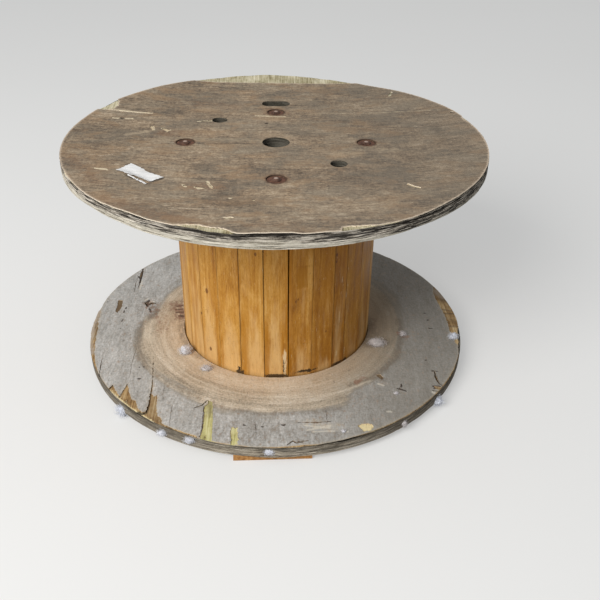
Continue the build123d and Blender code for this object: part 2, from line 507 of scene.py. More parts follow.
# Where the face veneer has come up off the body, by bearing, half width and gap at the rim
VENEER_GAPS = [
    (-137, 7, 1.2), (-124, 5, 1.7), (-113, 5, 1.3), (-104, 4, 1.7), (-97, 4, 1.3), (-91, 3, 2.4),
    (-88, 1.8, 2.4), (-83, 2.5, 1.6), (-60, 8, 0.7), (-45, 9, 1.2), (-28, 10, 1.2), (14, 14, 1.6),
    (60, 20, 1), (150, 20, 1.5), (-165, 14, 1.2),
]
UNDER_LIFT = 17.0
UNDER_SWELLS = [(-98, 24, -2.2), (-48, 20, 2.6), (100, 30, 2), (170, 30, -1)]
TORN_CHORD = 537.0
# Torn edge of the face veneer: bearing and how far it has broken back from the rim
TORN_EDGE = [
    (-180, 2), (-160, 1), (-150, 3), (-140, 1), (-128, 2), (-118, 1), (-113, 2), (-111.4, 12), (-108, 27),
    (-106.5, 24), (-104.4, 22), (-103, 26), (-101, 22), (-99.6, 7), (-98, 2), (-84, 0.5), (-75.6, 1),
    (-75.1, 24), (-71, 16), (-67, 3), (-50, 1), (-30, 2), (-8, 1), (-4, 2), (2, 4), (9, 6), (15, 11),
    (17, 4), (22, 2), (45, 3), (62, 2), (119, 1), (135, 2), (147.5, 1), (148.2, 14), (151, 34), (154, 38),
    (156.2, 22), (157, 2), (165, 3), (180, 2),
]
top_chips = torn_chips([
    (12, 4, 0.8, -385, 130, -376, 131, -369, 113, -366, 97, -373, 92, -378, 110),
    (13, 4, 0.8, -347, 117, -325, 106, -318, 99, -327, 79, -334, 92, -342, 104),
    (14, 4, 0.8, -239, 171, -221, 180, -201, 190, -198, 183, -215, 176),
    (15, 3, 0.8, -205, -311, -196, -315, -184, -320, -181, -327, -197, -322, -209, -319),
    (16, 3, 0.8, -186, -287, -179, -288, -160, -321, -166, -327, -176, -309),
    (17, 3, 0.8, -240, -306, -233, -305, -231, -312, -238, -313),
    (18, 4, 0.8, 376, 398, 385, 402, 396, 434, 390, 440, 381, 418),
    (19, 4, 0.8, 338, -303, 345, -301, 359, -321, 372, -331, 369, -337, 352, -324),
    (20, 3, 0.8, 551, 210, 561, 211, 562, 220, 552, 221),
    (21, 4, 0.8, -130, -505, -106, -500, -100, -506, -118, -512),
    (22, 3, 0.8, -61, -390, -53, -391, -52, -398, -60, -399),
])
# Cracks through the face veneer: width, then points
TOP_CRACKS = [
    (1.6, -568, 241, -522, 238, -475, 236, -428, 235, -389, 232), (2, -495, -124, -453, -106),
    (1.3, -330, 0, -290, -14, -240, -10, -150, -11, -60, -12), (1, 72, -300, 140, -303, 210, -300),
    (1, 300, 120, 380, 126, 450, 123), (1.2, -260, -452, -200, -455, -140, -452),
]
NAIL_PLACES = [(-29, 158), (-475, 180)]
NAIL_RADIUS = 3.4 * MM
# Marks on the face: half width, soft edge and strength, then points. Fresh is pale wood where
# slivers have been torn off, and dots are small dark holes and lines
TOP_MARKS = {
    "pale": [
        (2, 5, 0.9, -64, 228, -24, 228), (1.2, 4, 0.55, 109, 250, 221, 255, 333, 253, 504, 260),
        (8, 16, 0.5, -330, 27, -150, 24, -48, 10), (5, 10, 0.75, -440, 50, -420, 62, -386, 82),
        (12, 40, 0.3, 253, -444, 310, -384, 366, -350), (3, 5, 0.7, -484, -210, -455, -209),
        (2, 5, 0.6, -560, 246, -475, 242, -390, 237), (2, 5, 0.5, 50, 345, 80, 342),
        (6, 22, 0.5, 150, -90, 230, -84), (6, 20, 0.5, 300, -60, 350, -52),
        (14, 30, 0.35, -220, 300, -70, 290, -60, 240),
    ],
    "dark": [
        # The second stroke on the next line is painted shadow in front of the lifted veneer edge at the
        # back left
        (8, 26, 0.55, 481, 138, 492, 70, 490, 5), (3, 10, 0.5, -560, 222, -475, 220, -395, 219),
        # The two strokes on the next line are painted shadow along the paper label's lower edges
        (1.6, 3, 1, -389, -247, -360, -274, -334, -301), (2, 4, 1, -328, -299, -300, -268),
        (34, 80, 0.35, -545, 110, -450, 60, -440, -60), (1, 4, 0.8, -148, -11, -55, -12),
        (20, 60, 0.45, -330, -420, -160, -430, -60, -410), (10, 40, 0.35, -500, -90, -380, -80),
        (16, 50, 0.3, 180, -350, 330, -330), (8, 30, 0.4, -480, 330, -430, 360),
        (8, 40, 0.35, 60, 70, 150, 60), (12, 40, 0.35, 240, -210, 400, -190),
    ],
    "tint": [
        (6, 24, 0.7, -345, 70, -320, 62), (10, 40, 0.5, -560, -150, -470, -290),
        (14, 46, 0.55, -420, -420, -300, -500, -210, -530), (10, 40, 0.45, -330, 90, -250, 60),
        (12, 30, 0.6, -220, -312, -150, -312), (8, 24, 0.6, -340, 84, -290, 80),
        (14, 40, 0.5, -240, 330, -130, 310), (10, 30, 0.4, -60, -560, 60, -575),
    ],
    "fresh": [
        (3.5, 3, 1, -502, 177, -482, 178), (3.5, 3, 1, -468, 181, -446, 182),
        (2.5, 3, 1, -243, 176, -222, 178), (4.5, 3, 1, -222, 178, -200, 182),
        (3.5, 3, 1, -482, -211, -452, -214), (2.6, 3, 1, -490, 240, -400, 236),
        (1.6, 3, 0.9, -560, 246, -475, 242, -390, 236), (3, 4, 0.8, -375, 128, -367, 98),
        (4, 4, 0.8, -344, 112, -320, 96), (3, 3, 1, -206, -319, -196, -327, -190, -324),
        (3.2, 3, 1, -179, -281, -173, -300, -166, -319), (3, 3, 0.9, -241, -304, -232, -316),
        (2.6, 3, 0.9, -62, 229, -12, 223, 29, 222),
        (1.6, 3, 0.45, 173, 251, 244, 254, 350, 260, 430, 258, 524, 246),
        (3, 3, 0.9, -117, -385, -113, -386), (4, 5, 0.8, -563, 262, -545, 255),
    ],
    "dots": [
        (4.5, 3, 1, -30, 158, -28, 158), (4.5, 3, 1, -477, 180, -473, 180), (3, 4, 0.7, -334, 84, -322, 82),
        # The two strokes on the next line are painted shadow along the paper label's lower edges
        (2, 3, 0.8, -400, -246, -365, -276, -334, -303), (2, 3, 0.8, -330, -292, -296, -262),
        (1.5, 3, 0.7, -246, 168, -214, 172, -198, 172), (1.4, 3, 0.6, -330, -10, -240, -16, -150, -14),
    ],
}
# How far rust has run from each washer: right, back, left and front
RUST_REACH = (10.0, 32.0, 12.0, 16.0)
# Opened glue lines and broken plies of the upper rim, as ply_wall takes them
TOP_SEAMS = [
    (9, -95, 14, 2.2, 6), (7, -112, 20, 1.6, 5), (10, -128, 14, 2, 6), (8, -40, 26, 1.8, 5),
    (6, -84, 16, 1.4, 4), (8, -130, 10, 1.4, 4), (9, -58, 14, 1.6, 5), (10, -20, 16, 1.8, 5),
    (7, -70, 10, 1.2, 4), (5, -118, 14, 1.2, 4), (9, 40, 20, 1.6, 5), (8, 110, 24, 1.6, 5),
    (9, 170, 20, 1.8, 5),
]
TOP_INSETS = [
    (0, 3.2, -134, 12, 5, 0.2), (8.2, 11, -108, 9, 4, 0.7), (9.2, 11, -88, 10, 4, 1),
    (9.2, 11, 60, 30, 3, 1), (6.2, 9.9, -60, 20, 2.2, 0.8), (8.2, 11, 153, 5, 3, 0.5),
    (7.2, 11, 12, 9, 4.5, 0.8),
]


def beyond_cup(x, y):
    """How far out on the cupped part a point is, squared, from 0 to 1 at the rim."""
    share = (np.hypot(x, y) - CUP_START) / (RIM - CUP_START)
    return np.clip(share, 0, 1.01) ** 2


def top_face(x, y):
    """Upper side of the face veneer."""
    bearing = bearing_of(x, y)
    share = beyond_cup(x, y)
    flutter = 0.5 * ring_noise(bearing, 8, 40, 3) * share**3
    waves = 0.25 * plane_noise(x, y, 260 * MM, 45 * MM, 4)
    lift = RIM_LIFT + bumps(bearing, RIM_SWELLS)
    height = np.minimum(lift * share + flutter, 21.6 * share + 0.4)
    return FACE + (height + waves * np.clip(1 - share, 0.2, 1) - 0.3) * MM


def top_body_over(x, y):
    """Upper side of the plywood body, from which the veneer has lifted at the rim."""
    bearing = bearing_of(x, y)
    uneven = 1 + 0.8 * ring_noise(bearing, 14, 90, 44)
    gap = VENEER_PLAY / MM + bumps(bearing, VENEER_GAPS) * np.clip(uneven, 0.1, 2) * beyond_cup(x, y) ** 2.5
    height = top_face(x, y) - VENEER - gap * MM
    return np.where(in_recess(x, y), RECESS_FLOOR, height)


def top_body_under(x, y):
    lift = UNDER_LIFT + bumps(bearing_of(x, y), UNDER_SWELLS)
    height = UNDER + lift * beyond_cup(x, y) * MM
    return np.where(in_groove(x, y), UNDER + GROOVE_DEPTH, height)


def bolt_stain(x, y):
    """Rust that has run from the washers, widest round the back one."""
    stain = np.zeros_like(x)
    for (px, py), reach in zip(BOLT_PLACES, RUST_REACH):
        away = (np.hypot(x - px, y - py) - RECESS) / MM
        stain = np.maximum(stain, np.clip(1 - away / reach, 0, 1))
    return stain


def recess_rust(x, y):
    """1 in the recesses of the washers and on their walls, 0 outside."""
    away = np.min([np.hypot(x - px, y - py) for px, py in BOLT_PLACES], axis=0)
    return np.clip(1 - (away - RECESS - 0.3 * MM) / (1.5 * MM), 0, 1)


def make_top_flange():
    """Body and face veneer of the upper flange."""
    # Painted shade in the cracks and nail holes, laid on the body under them
    cracks = crack_shade_strokes(TOP_CRACKS) + [(4.0, 2, 1.0, x - 1, y, x + 1, y) for x, y in NAIL_PLACES]
    body = plate(
        "top_flange_body", rim_line, through_holes + shank_holes + [cable_hole],
        recess_lines + groove_lines, beside(cracks), top_body_under, top_body_over, PLY_LEVELS,
        partial(ply_wall, seed=100, rough=1.0, seams=TOP_SEAMS, insets=TOP_INSETS),
        ["top_flange"], 2 * GRID,
    )
    x, y, z = coordinates(body)
    bearing = bearing_of(x, y)
    # Painted shade: the body's edge close under the lifted face veneer is darkened
    gap = bumps(bearing, VENEER_GAPS) * (1 + 0.8 * ring_noise(bearing, 14, 90, 44))
    gap = gap + 0.4 * ring_noise(bearing, 40, 200, 43)
    broken = np.interp(bearing, *zip(*TORN_EDGE)) > 7
    over = top_body_over(x, y)
    near_top = (z > over - 1.2 * MM) & (np.hypot(x, y) > RIM - 45 * MM) & (y < TORN_CHORD * MM - 8 * MM)
    paint(
        body,
        gap=np.where(near_top & ~broken, np.clip(gap / 1.3, 0, 1), 0),
        crack=np.where(z > over - CRACK_DEPTH, stroke_mask(x, y, cracks), 0),
        rust=np.where(z > RECESS_FLOOR - 1 * MM, recess_rust(x, y), 0),
    )
    outline = rim_outline(TORN_EDGE, 41, 1.5, TORN_CHORD)
    nail_holes = [circle((x * MM, y * MM), NAIL_RADIUS, 12) for x, y in NAIL_PLACES]
    holes = through_holes + [cable_hole] + nail_holes + recesses + top_chips + slits(TOP_CRACKS, 31)
    veneer, x, y, masks = make_veneer(
        "top_flange", outline, outline, holes, top_face, TOP_MARKS,
    )
    masks["tint"] = np.maximum(masks["tint"], 0.8 * bolt_stain(x, y))
    paint(veneer, rust=recess_rust(x, y), **masks)
    return body, veneer


# The lower flange

LOWER_EDGE = [
    (-180, 16), (-176, 22), (-168, 17), (-160, 8), (-154, 2), (-145, 1), (-122, 8), (-118, 7), (-111.5, 8),
    (-111, 2), (-95, 1), (-88, 3), (-84, 6), (-80, 2), (-62, 3), (-40, 2), (-18, 3), (-14, 9), (-12, 20),
    (-10, 30), (-7, 34), (0, 36), (8, 38), (14, 34), (18, 22), (19.5, 12), (21, 3), (60, 2), (150, 2),
    (166, 1), (171, 4), (176, 14), (180, 16),
]
# Torn tongues at the front left, point by point along the veneer's edge
TONGUES = [
    (-495, -352), (-487, -336), (-475, -362), (-457, -390), (-450, -352), (-445, -330), (-433, -372),
    (-419, -406), (-407, -413), (-395, -450), (-381, -465), (-373, -461), (-370, -425), (-371, -384),
    (-371, -339), (-376, -284), (-386, -190), (-374, -284), (-368, -339), (-366, -380), (-358, -392),
    (-349, -385), (-345, -437), (-337, -477), (-325, -487), (-321, -508),
]
# Dark lines on the bare wood close along the tongues
TONGUE_SHADOWS = [
    (2.5, 3, 1, -370, -420, -371, -354, -375, -280, -386, -192), (2, 3, 0.9, -494, -352, -487, -337),
    (2, 3, 1, -459, -390, -452, -354, -446, -333),
    (2.4, 3, 1, -394, -458, -382, -468, -371, -462, -369, -430, -370, -400),
]
lower_chips = torn_chips([
    (61, 6, 0.8, -209, -439, -199, -425, -200, -409, -192, -413, -186, -418, -183, -460, -180, -504, -178,
     -579, -180, -596, -206, -597, -211, -563, -206, -529, -207, -478),
    (62, 5, 1.2, -129, -530, -122, -524, -117, -532, -109, -526, -108, -560, -106, -597, -126, -597),
    (63, 5, 0.8, -550, 131, -535, 131, -530, 95, -533, 73, -539, 51, -548, 60, -547, 90),
    (64, 5, 0.8, -493, 347, -491, 307, -494, 280, -500, 290, -499, 315),
    (65, 4, 0.8, 225, -525, 237, -516, 266, -518, 269, -530, 261, -545, 239, -549, 232, -537),
    (68, 4, 0.8, 301, -297, 313, -293, 323, -307, 317, -321, 306, -307),
    (69, 4, 0.8, 468, -352, 490, -358, 494, -367, 484, -373, 470, -364),
])
LOWER_CRACKS = [
    (2.6, -491, 330, -492, 268, -493, 204), (1.5, -502, 180, -506, 240, -505, 290),
    (2.4, -542, -200, -540, -250, -535, -292), (6, -454, 118, -449, 105, -443, 91),
    (7, -441, 102, -431, 112, -421, 111), (2.6, -233, -442, -216, -432, -203, -414),
    (1.6, 68, -509, 100, -510, 145, -507), (5, 28, -599, 44, -584, 51, -592, 84, -584),
    (6, 484, -278, 481, -304, 483, -323, 488, -341), (1.6, 373, -344, 366, -358, 359, -372),
    (1, -445, -150, -447, -240, -443, -300), (1, -60, -500, -58, -540, -57, -580),
    (0.9, 140, -440, 141, -480, 140, -520), (0.9, -300, -430, -301, -470, -299, -520),
]
# Bare wood that has darkened since its veneer came off, and that has bleached to grey
AGED_WOOD = [
    (22, 12, 1, -541, 131, -541, 51), (7, 6, 0.8, -592, 70, -595, -4, -584, -73, -567, -134),
    (16, 10, 1, -495, 348, -499, 285), (7, 10, 0.6, -196, -416, -191, -465),
    (3, 6, 0.5, 250, -536, 256, -546), (18, 8, 1, 305, -300, 318, -312), (14, 8, 0.7, 470, -358, 490, -366),
    (10, 16, 0.8, 572, 190, 588, 130), (3, 5, 0.8, 572, 66, 600, 60), (3, 5, 0.8, 574, 44, 604, 40),
    (4, 6, 0.7, 580, -36, 608, -34), (6, 8, 0.4, 576, 20, 604, -10), (26, 20, 0.45, -350, -400, -330, -500),
]
FADED_WOOD = [
    (9, 6, 1, -598, 90, -609, -10, -602, -110, -584, -170), (10, 10, 0.6, 566, 190, 590, 150),
]
# Bare wood that shows green and cream
GREEN_WOOD = [(16, 10, 1, -194, -425, -190, -600), (12, 10, 1, -117, -520, -115, -600)]
CREAM_WOOD = [(14, 8, 1, 238, -532, 262, -528)]
CREAM_RIM = [(-136, 8, 1), (-127, 4, 0.7), (-104, 4, 0.5)]
# Painted shade in the open seam close under the lower veneer: bearing, half width and strength
LOWER_GAPS = [(-72, 8, 0.9), (-119, 3, 0.5), (-58, 5, 0.5)]
# Line where cable has rubbed: the ring inside it is browner. Bearing and radius
RUB_EDGE = [
    (-180, 440), (-169, 455), (-160, 462), (-149, 468), (-139, 466), (-126, 461), (-110, 469), (-96, 473),
    (-80, 474), (-66, 484), (-58, 420), (-46, 426), (-29, 430), (-15, 419), (0, 425), (40, 440), (90, 450),
    (140, 430), (174, 409), (180, 440),
]
LOWER_MARKS = {
    "pale": [
        (6, 18, 0.8, -413, 0, -417, -60, -407, -111),
        (2, 5, 0.8, -360, -4, -368, -60, -361, -111, -342, -179, -310, -242, -262, -300, -168, -362, -54,
         -398, 85, -399, 186, -377, 280, -325),
        (10, 30, 0.5, -280, -190, -200, -270, -100, -330, 20, -345, 120, -330),
        (8, 24, 0.6, 80, -515, 160, -530),
    ],
    "dark": [
        (5, 16, 0.9, -407, 60, -420, 30, -443, -17, -450, -87, -436, -160, -404, -243),
        (4, 14, 0.5, -404, -243, -353, -305, -271, -372, -163, -442, -53, -472, 83, -472, 194, -450),
        (5, 12, 0.75, 218, -344, 297, -304, 375, -209, 405, -106, 408, 0),
        (10, 30, 0.6, -345, 110, -330, 60, -318, 20), (6, 16, 0.7, -462, 140, -440, 100, -425, 80),
        (5, 10, 0.8, 303, -296, 320, -318), (12, 26, 0.7, 310, 0, 318, -80, 300, -130),
        (20, 60, 0.4, -150, -545, 0, -560, 150, -545),
        (7, 14, 0.6, -313, 0, -309, -60, -284, -130, -240, -200),
    ],
    "tint": [
        (10, 30, 0.7, -350, 100, -325, 60, -314, 20), (12, 40, 0.4, -440, 90, -395, 40, -380, -40),
        (6, 12, 0.6, 403, -76, 422, -96), (5, 10, 0.8, 240, -330, 262, -310),
    ],
    "dots": [
        (2.6, 3, 1, -92, -519, -90, -520), (2.6, 3, 1, -41, -526, -39, -527),
        (3.2, 3, 1, 15, -520, 18, -521), (2.4, 3, 0.9, -418, -308, -410, -308),
        (1.8, 2.5, 0.8, -421, -249, -420, -251), (1.8, 2.5, 0.8, -408, -249, -407, -251),
        (2.6, 3, 0.8, -518, 66, -517, 54), (2.6, 3, 0.8, -515, 88, -515, 79),
        (2.4, 3, 0.7, -515, 7, -515, 0), (2, 3, 0.6, -513, -38, -513, -44),
        (2, 3, 0.7, -584, 125, -584, 119), (2.4, 3, 0.9, -451, 116, -444, 130),
        (2.2, 3, 0.8, -437, 81, -429, 59), (2, 3, 0.9, 372, -344, 372, -354),
        (2.4, 3, 0.9, 361, -365, 373, -369, 382, -375), (2, 3, 0.9, 476, -279, 492, -281),
        (2, 4, 0.6, 28, -597, 44, -583, 52, -590, 84, -583), (3.2, 3, 1, -453, 117, -447, 103, -443, 92),
        (2.8, 3, 1, -443, 132, -446, 112), (3.6, 3, 1, -440, 103, -431, 112, -422, 111),
        (2.4, 3, 0.9, -432, 72, -428, 56), (2.6, 3, 0.9, -496, 346, -493, 309, -492, 250),
        (2.8, 3, 0.8, -504, 292, -496, 278), (3, 4, 0.7, 503, 41, 507, 41), (3, 4, 0.7, 506, 0, 510, 0),
        (3, 4, 0.7, 508, -49, 512, -49), (2.4, 4, 0.7, 464, -224, 468, -224),
        (1.8, 3, 0.9, 467, -352, 487, -354), (1.8, 3, 0.9, 470, -364, 492, -366),
        (1.6, 3, 0.8, 462, -374, 482, -377), (2, 4, 0.7, 484, -300, 486, -340, 497, -352),
        (1.6, 3, 0.7, 465, -355, 490, -359), (1.5, 3, 0.8, -391, -463, -381, -467, -373, -463),
        (1.2, 2.5, 0.7, -211, -566, -208, -530, -209, -480, -210, -440),
        (1.6, 3, 0.8, -202, -412, -214, -431, -236, -443), (1.4, 3, 0.7, 60, -510, 100, -511, 150, -507),
        (3.5, 5, 0.8, -343, 93, -326, 93), (3.5, 5, 0.8, -341, 71, -323, 71),
        (4, 5, 0.9, -338, 54, -319, 54), (5, 5, 0.9, -325, 32, -314, 28),
    ],
    "fresh": [
        (2.4, 3, 1, 76, -522, 147, -534), (2.6, 3, 1, 84, -542, 148, -524),
        (2.2, 3, 0.9, 100, -548, 158, -546), (2.6, 3, 1, -457, 130, -448, 141),
        (3.2, 3, 1, -441, 114, -434, 124, -424, 121), (3, 3, 1, 463, -377, 491, -366),
        (2.6, 3, 1, 460, -384, 476, -392), (3, 3, 1, 302, -339, 319, -348),
        (2.4, 3, 0.9, -486, 262, -485, 204), (3.5, 3, 1, 185, -547, 190, -549),
        (3, 3, 0.9, 316, -466, 324, -466), (3, 3, 0.9, 346, -384, 356, -386),
    ],
}
LOWER_SEAMS = [
    (10, -69, 9, 4.2, 14), (10, -86, 6, 2, 7), (9, -104, 12, 1.6, 5), (9, -132, 9, 1.6, 6),
    (8, -40, 20, 1.2, 5),
]
LOWER_INSETS = [
    (9.2, 11, -132, 7, 4, 0.2), (10.2, 11, -116, 6, 3, 0.4), (9.2, 11, -10, 7, 8, 0.4),
    (8.2, 11, 178, 12, 3, 0.4), (1, 9, -92, 2.4, 4, 0),
]
# Loose tongue of veneer: where it springs up, over what length, its middle, half width and lift
TONGUE_ROOT, TONGUE_LENGTH, TONGUE_MIDDLE, TONGUE_HALF, TONGUE_LIFT = 380, 90, -400, 34, 4.5


def lower_outline(rim):
    """The veneer's rim with its torn tongues in place of a stretch of it."""
    bearing = bearing_of(*rim.T)
    first, last = (math.degrees(math.atan2(y, x)) for x, y in (TONGUES[0], TONGUES[-1]))
    tongues = torn(TONGUES, 52, 4, 0.9, False)
    return np.vstack([rim[bearing < first - 0.3], tongues, rim[bearing > last + 0.3]])


def lower_waves(x, y):
    return 0.25 * plane_noise(x, y, 45 * MM, 260 * MM, 6)


def lower_face(x, y):
    """Upper side of the veneer, with the loose tongue at the front left sprung up."""
    down = np.clip((-y / MM - TONGUE_ROOT) / TONGUE_LENGTH, 0, 1)
    across = np.exp(-(((x / MM - TONGUE_MIDDLE) / TONGUE_HALF) ** 4))
    return FLOOR_FACE + (lower_waves(x, y) - 0.4 + TONGUE_LIFT * down**1.5 * across) * MM


def lower_body_over(x, y):
    settled = FLOOR_FACE - 0.4 * MM - VENEER - VENEER_PLAY + lower_waves(x, y) * MM
    height = np.where(np.hypot(x, y) < GROOVE_INNER, FLOOR_FACE, settled)
    return np.where(in_groove(x, y), FLOOR_FACE - GROOVE_DEPTH, height)


def lower_body_under(x, y):
    return np.where(in_recess(x, y), NUT_RECESS_ROOF, FLOOR_UNDER)


def make_bottom_flange():
    """Body and face veneer of the lower flange."""
    # Painted shade in the cracks, and painted shadows along the lifted tongues
    cracks = crack_shade_strokes(LOWER_CRACKS) + TONGUE_SHADOWS
    outer_strip = [(3, 4, 1, *np.ravel([polar(RIM / MM - 2, bearing) for bearing in range(-146, -123, 3)]))]
    body = plate(
        "bottom_flange_body", rim_line, through_holes + shank_holes,
        recess_lines + groove_lines, beside(cracks + outer_strip + AGED_WOOD + FADED_WOOD),
        lower_body_under, lower_body_over, PLY_LEVELS,
        partial(ply_wall, seed=200, rough=0.75, seams=LOWER_SEAMS, insets=LOWER_INSETS),
        ["bottom_flange"], 2 * GRID,
    )
    x, y, z = coordinates(body)
    upper = z > lower_body_over(x, y) - CRACK_DEPTH
    cream = np.minimum(bumps(bearing_of(x, y), CREAM_RIM), stroke_mask(x, y, outer_strip))
    cream = np.maximum(cream, stroke_mask(x, y, CREAM_WOOD))
    # Painted shade: the body's edge close under the open seams is darkened
    near_top = (z > FLOOR_FACE - 4.5 * MM) & (np.hypot(x, y) > RIM - 12 * MM)
    paint(
        body,
        rust=np.zeros(len(x)),
        green=stroke_mask(x, y, GREEN_WOOD),
        cream=np.where(z > FLOOR_FACE - 5 * MM, np.clip(cream, 0, 1), 0),
        aged=np.where(upper, stroke_mask(x, y, AGED_WOOD), 0),
        faded=stroke_mask(x, y, FADED_WOOD),
        crack=np.where(upper, stroke_mask(x, y, cracks), 0),
        gap=np.where(near_top, np.clip(bumps(bearing_of(x, y), LOWER_GAPS), 0, 1), 0),
    )
    rim = rim_outline(LOWER_EDGE, 51, 1.2)
    holes = [circle((0, 0), GROOVE_OUTER + 0.4 * MM, 240)] + lower_chips + slits(LOWER_CRACKS, 81)
    veneer, x, y, masks = make_veneer(
        "bottom_flange", lower_outline(rim), rim, holes, lower_face, LOWER_MARKS,
    )
    edge = np.interp(bearing_of(x, y), *zip(*RUB_EDGE)) + 8 * ring_noise(bearing_of(x, y), 3, 30, 7)
    paint(veneer, rubbed=np.clip((edge - np.hypot(x, y) / MM) / 60 + 0.5, 0, 1), **masks)
    return body, veneer


# The barrel

# Knots: bearing, height above the floor and size, in millimetres
KNOTS = [
    (-55.7, 452, 3.5), (-55.8, 430, 3), (-61, 200, 3), (-132.4, 317, 6), (-132, 109, 5), (-138, 226, 3.5),
    (-79.6, 325, 3), (-78.2, 332, 3), (-101, 480, 4), (35, 300, 5), (80, 180, 5), (128, 420, 6),
    (-12, 240, 4), (165, 330, 5),
]
# How dark each stave is, from its place in the ring: each board's own tone, and painted shade that darkens
# the staves towards the right; the others are drawn by lot
STAVE_TONES_AND_SHADE = {
    18: 0, 19: -0.15, 20: -0.1, 21: 0.15, 22: 0.05, 23: 0, 24: 0.1, 25: 0.45, 26: 0.75, 0: 0.9, 1: 0.7,
    2: 0.6,
}
# Where a stave stands back or its seam has opened: shift inwards, left edge cut, right edge cut
STAVE_FIT = {
    24: (2, 0.3, 2.4), 25: (0.6, 2, 0), 0: (1.2, 0.2, 0.3), 23: (0, 0.3, 0.3), 22: (0.3, 0, 0.5),
}
# How dark the seam is at each side of a stave; elsewhere it is faint
SEAM_SHADE = {
    22: (0.35, 1), 23: (1, 0.35), 24: (0.45, 1), 25: (0.9, 0.4), 26: (0.4, 0.8), 0: (0.8, 0.6),
    1: (0.5, 0.4),
}
# Marks on the staves: mask, middle across the board, middle height, half width, half height, strength
STAVE_MARKS = {
    25: [
        ("scar", 8, 437, 30, 2.5, 0.8), ("scar", -15, 333, 3.5, 7, 1), ("runs", -32, 320, 6, 330, 0.9),
        ("scar", -20, 300, 6, 90, 0.6), ("foot_gap_shade", 12, 72, 22, 4, 1), ("foot_gap_shade", 29, 71, 7, 7, 1),
        ("runs", 12, 180, 5, 120, 0.5), ("scar", 30, 245, 6, 70, 0.6),
    ],
    24: [
        ("bare", 25, 110, 5, 46, 1), ("scar", 25, 172, 4, 12, 1), ("foot_gap_shade", 0, 61, 36, 8, 1),
        ("foot_gap_shade", 28, 118, 0.7, 40, 0.9), ("foot_gap_shade", 22, 96, 0.7, 28, 0.8), ("foot_gap_shade", 30.5, 90, 0.8, 30, 0.8),
        ("runs", -28, 130, 7, 130, 1), ("runs", 19, 150, 4, 100, 0.9), ("runs", 31, 260, 5, 250, 0.9),
        ("scar", 10, 430, 22, 60, 0.45),
    ],
    23: [
        ("runs", -26, 150, 8, 130, 1), ("foot_gap_shade", -32, 64, 4, 10, 1), ("runs", 31, 330, 3, 220, 0.6),
        ("scar", -20, 440, 12, 90, 0.35),
    ],
    22: [
        ("foot_gap_shade", 28, 63, 10, 7, 1), ("foot_gap_shade", 29, 76, 3, 12, 0.9), ("scar", 14, 380, 22, 80, 0.5),
        ("runs", 33, 420, 3, 170, 0.8), ("scar", 20, 465, 10, 22, 0.5), ("runs", -28, 180, 4, 170, 0.6),
    ],
    21: [("runs", -32, 300, 3, 300, 0.5), ("runs", 30, 240, 5, 220, 0.6)],
    26: [
        ("scar", -23, 260, 7, 200, 0.7), ("scar", -4, 250, 5, 60, 0.7), ("foot_gap_shade", -25, 72, 12, 2.5, 0.9),
        ("scar", 26, 240, 6, 190, 0.7), ("runs", 10, 420, 14, 120, 0.6), ("scar", -8, 120, 20, 60, 0.4),
    ],
    0: [
        ("scar", 0, 380, 10, 90, 0.5), ("bare", 6, 361, 1.8, 16, 0.5), ("bare", 1, 237, 2.5, 22, 0.5),
        ("bare", -6, 103, 4, 12, 0.5), ("foot_gap_shade", 0, 62, 24, 5, 1), ("scar", -17, 139, 6, 60, 0.8),
        ("bare", 9, 300, 1.5, 90, 0.3), ("scar", -18, 210, 5, 80, 0.6),
    ],
    1: [
        ("bare", -31, 96, 3, 14, 0.5), ("foot_gap_shade", -26, 61, 8, 6, 1), ("bare", -32, 290, 2.5, 120, 0.4),
        ("runs", 10, 200, 12, 180, 0.5),
    ],
    2: [("runs", -28, 300, 4, 260, 0.5), ("scar", 8, 210, 6, 30, 0.4)],
}
# Pale tongues, partly thin varnish and partly painted light on the lower part of the staves: middle at the
# foot, middle at the tip, half width, height of the tip
THIN_VARNISH_AND_LIT_TONGUES = {
    18: (0, 0, 30, 420), 19: (2, -5, 32, 400), 20: (4, 0, 33, 430), 21: (-6, -2, 30, 330),
    22: (4, -4, 29, 300), 23: (11, 4, 24, 330), 24: (-3, -7, 24, 350), 25: (2, 6, 20, 200),
}
# The stave with a squarish darker blotch
BLOTCHED_STAVE = 25


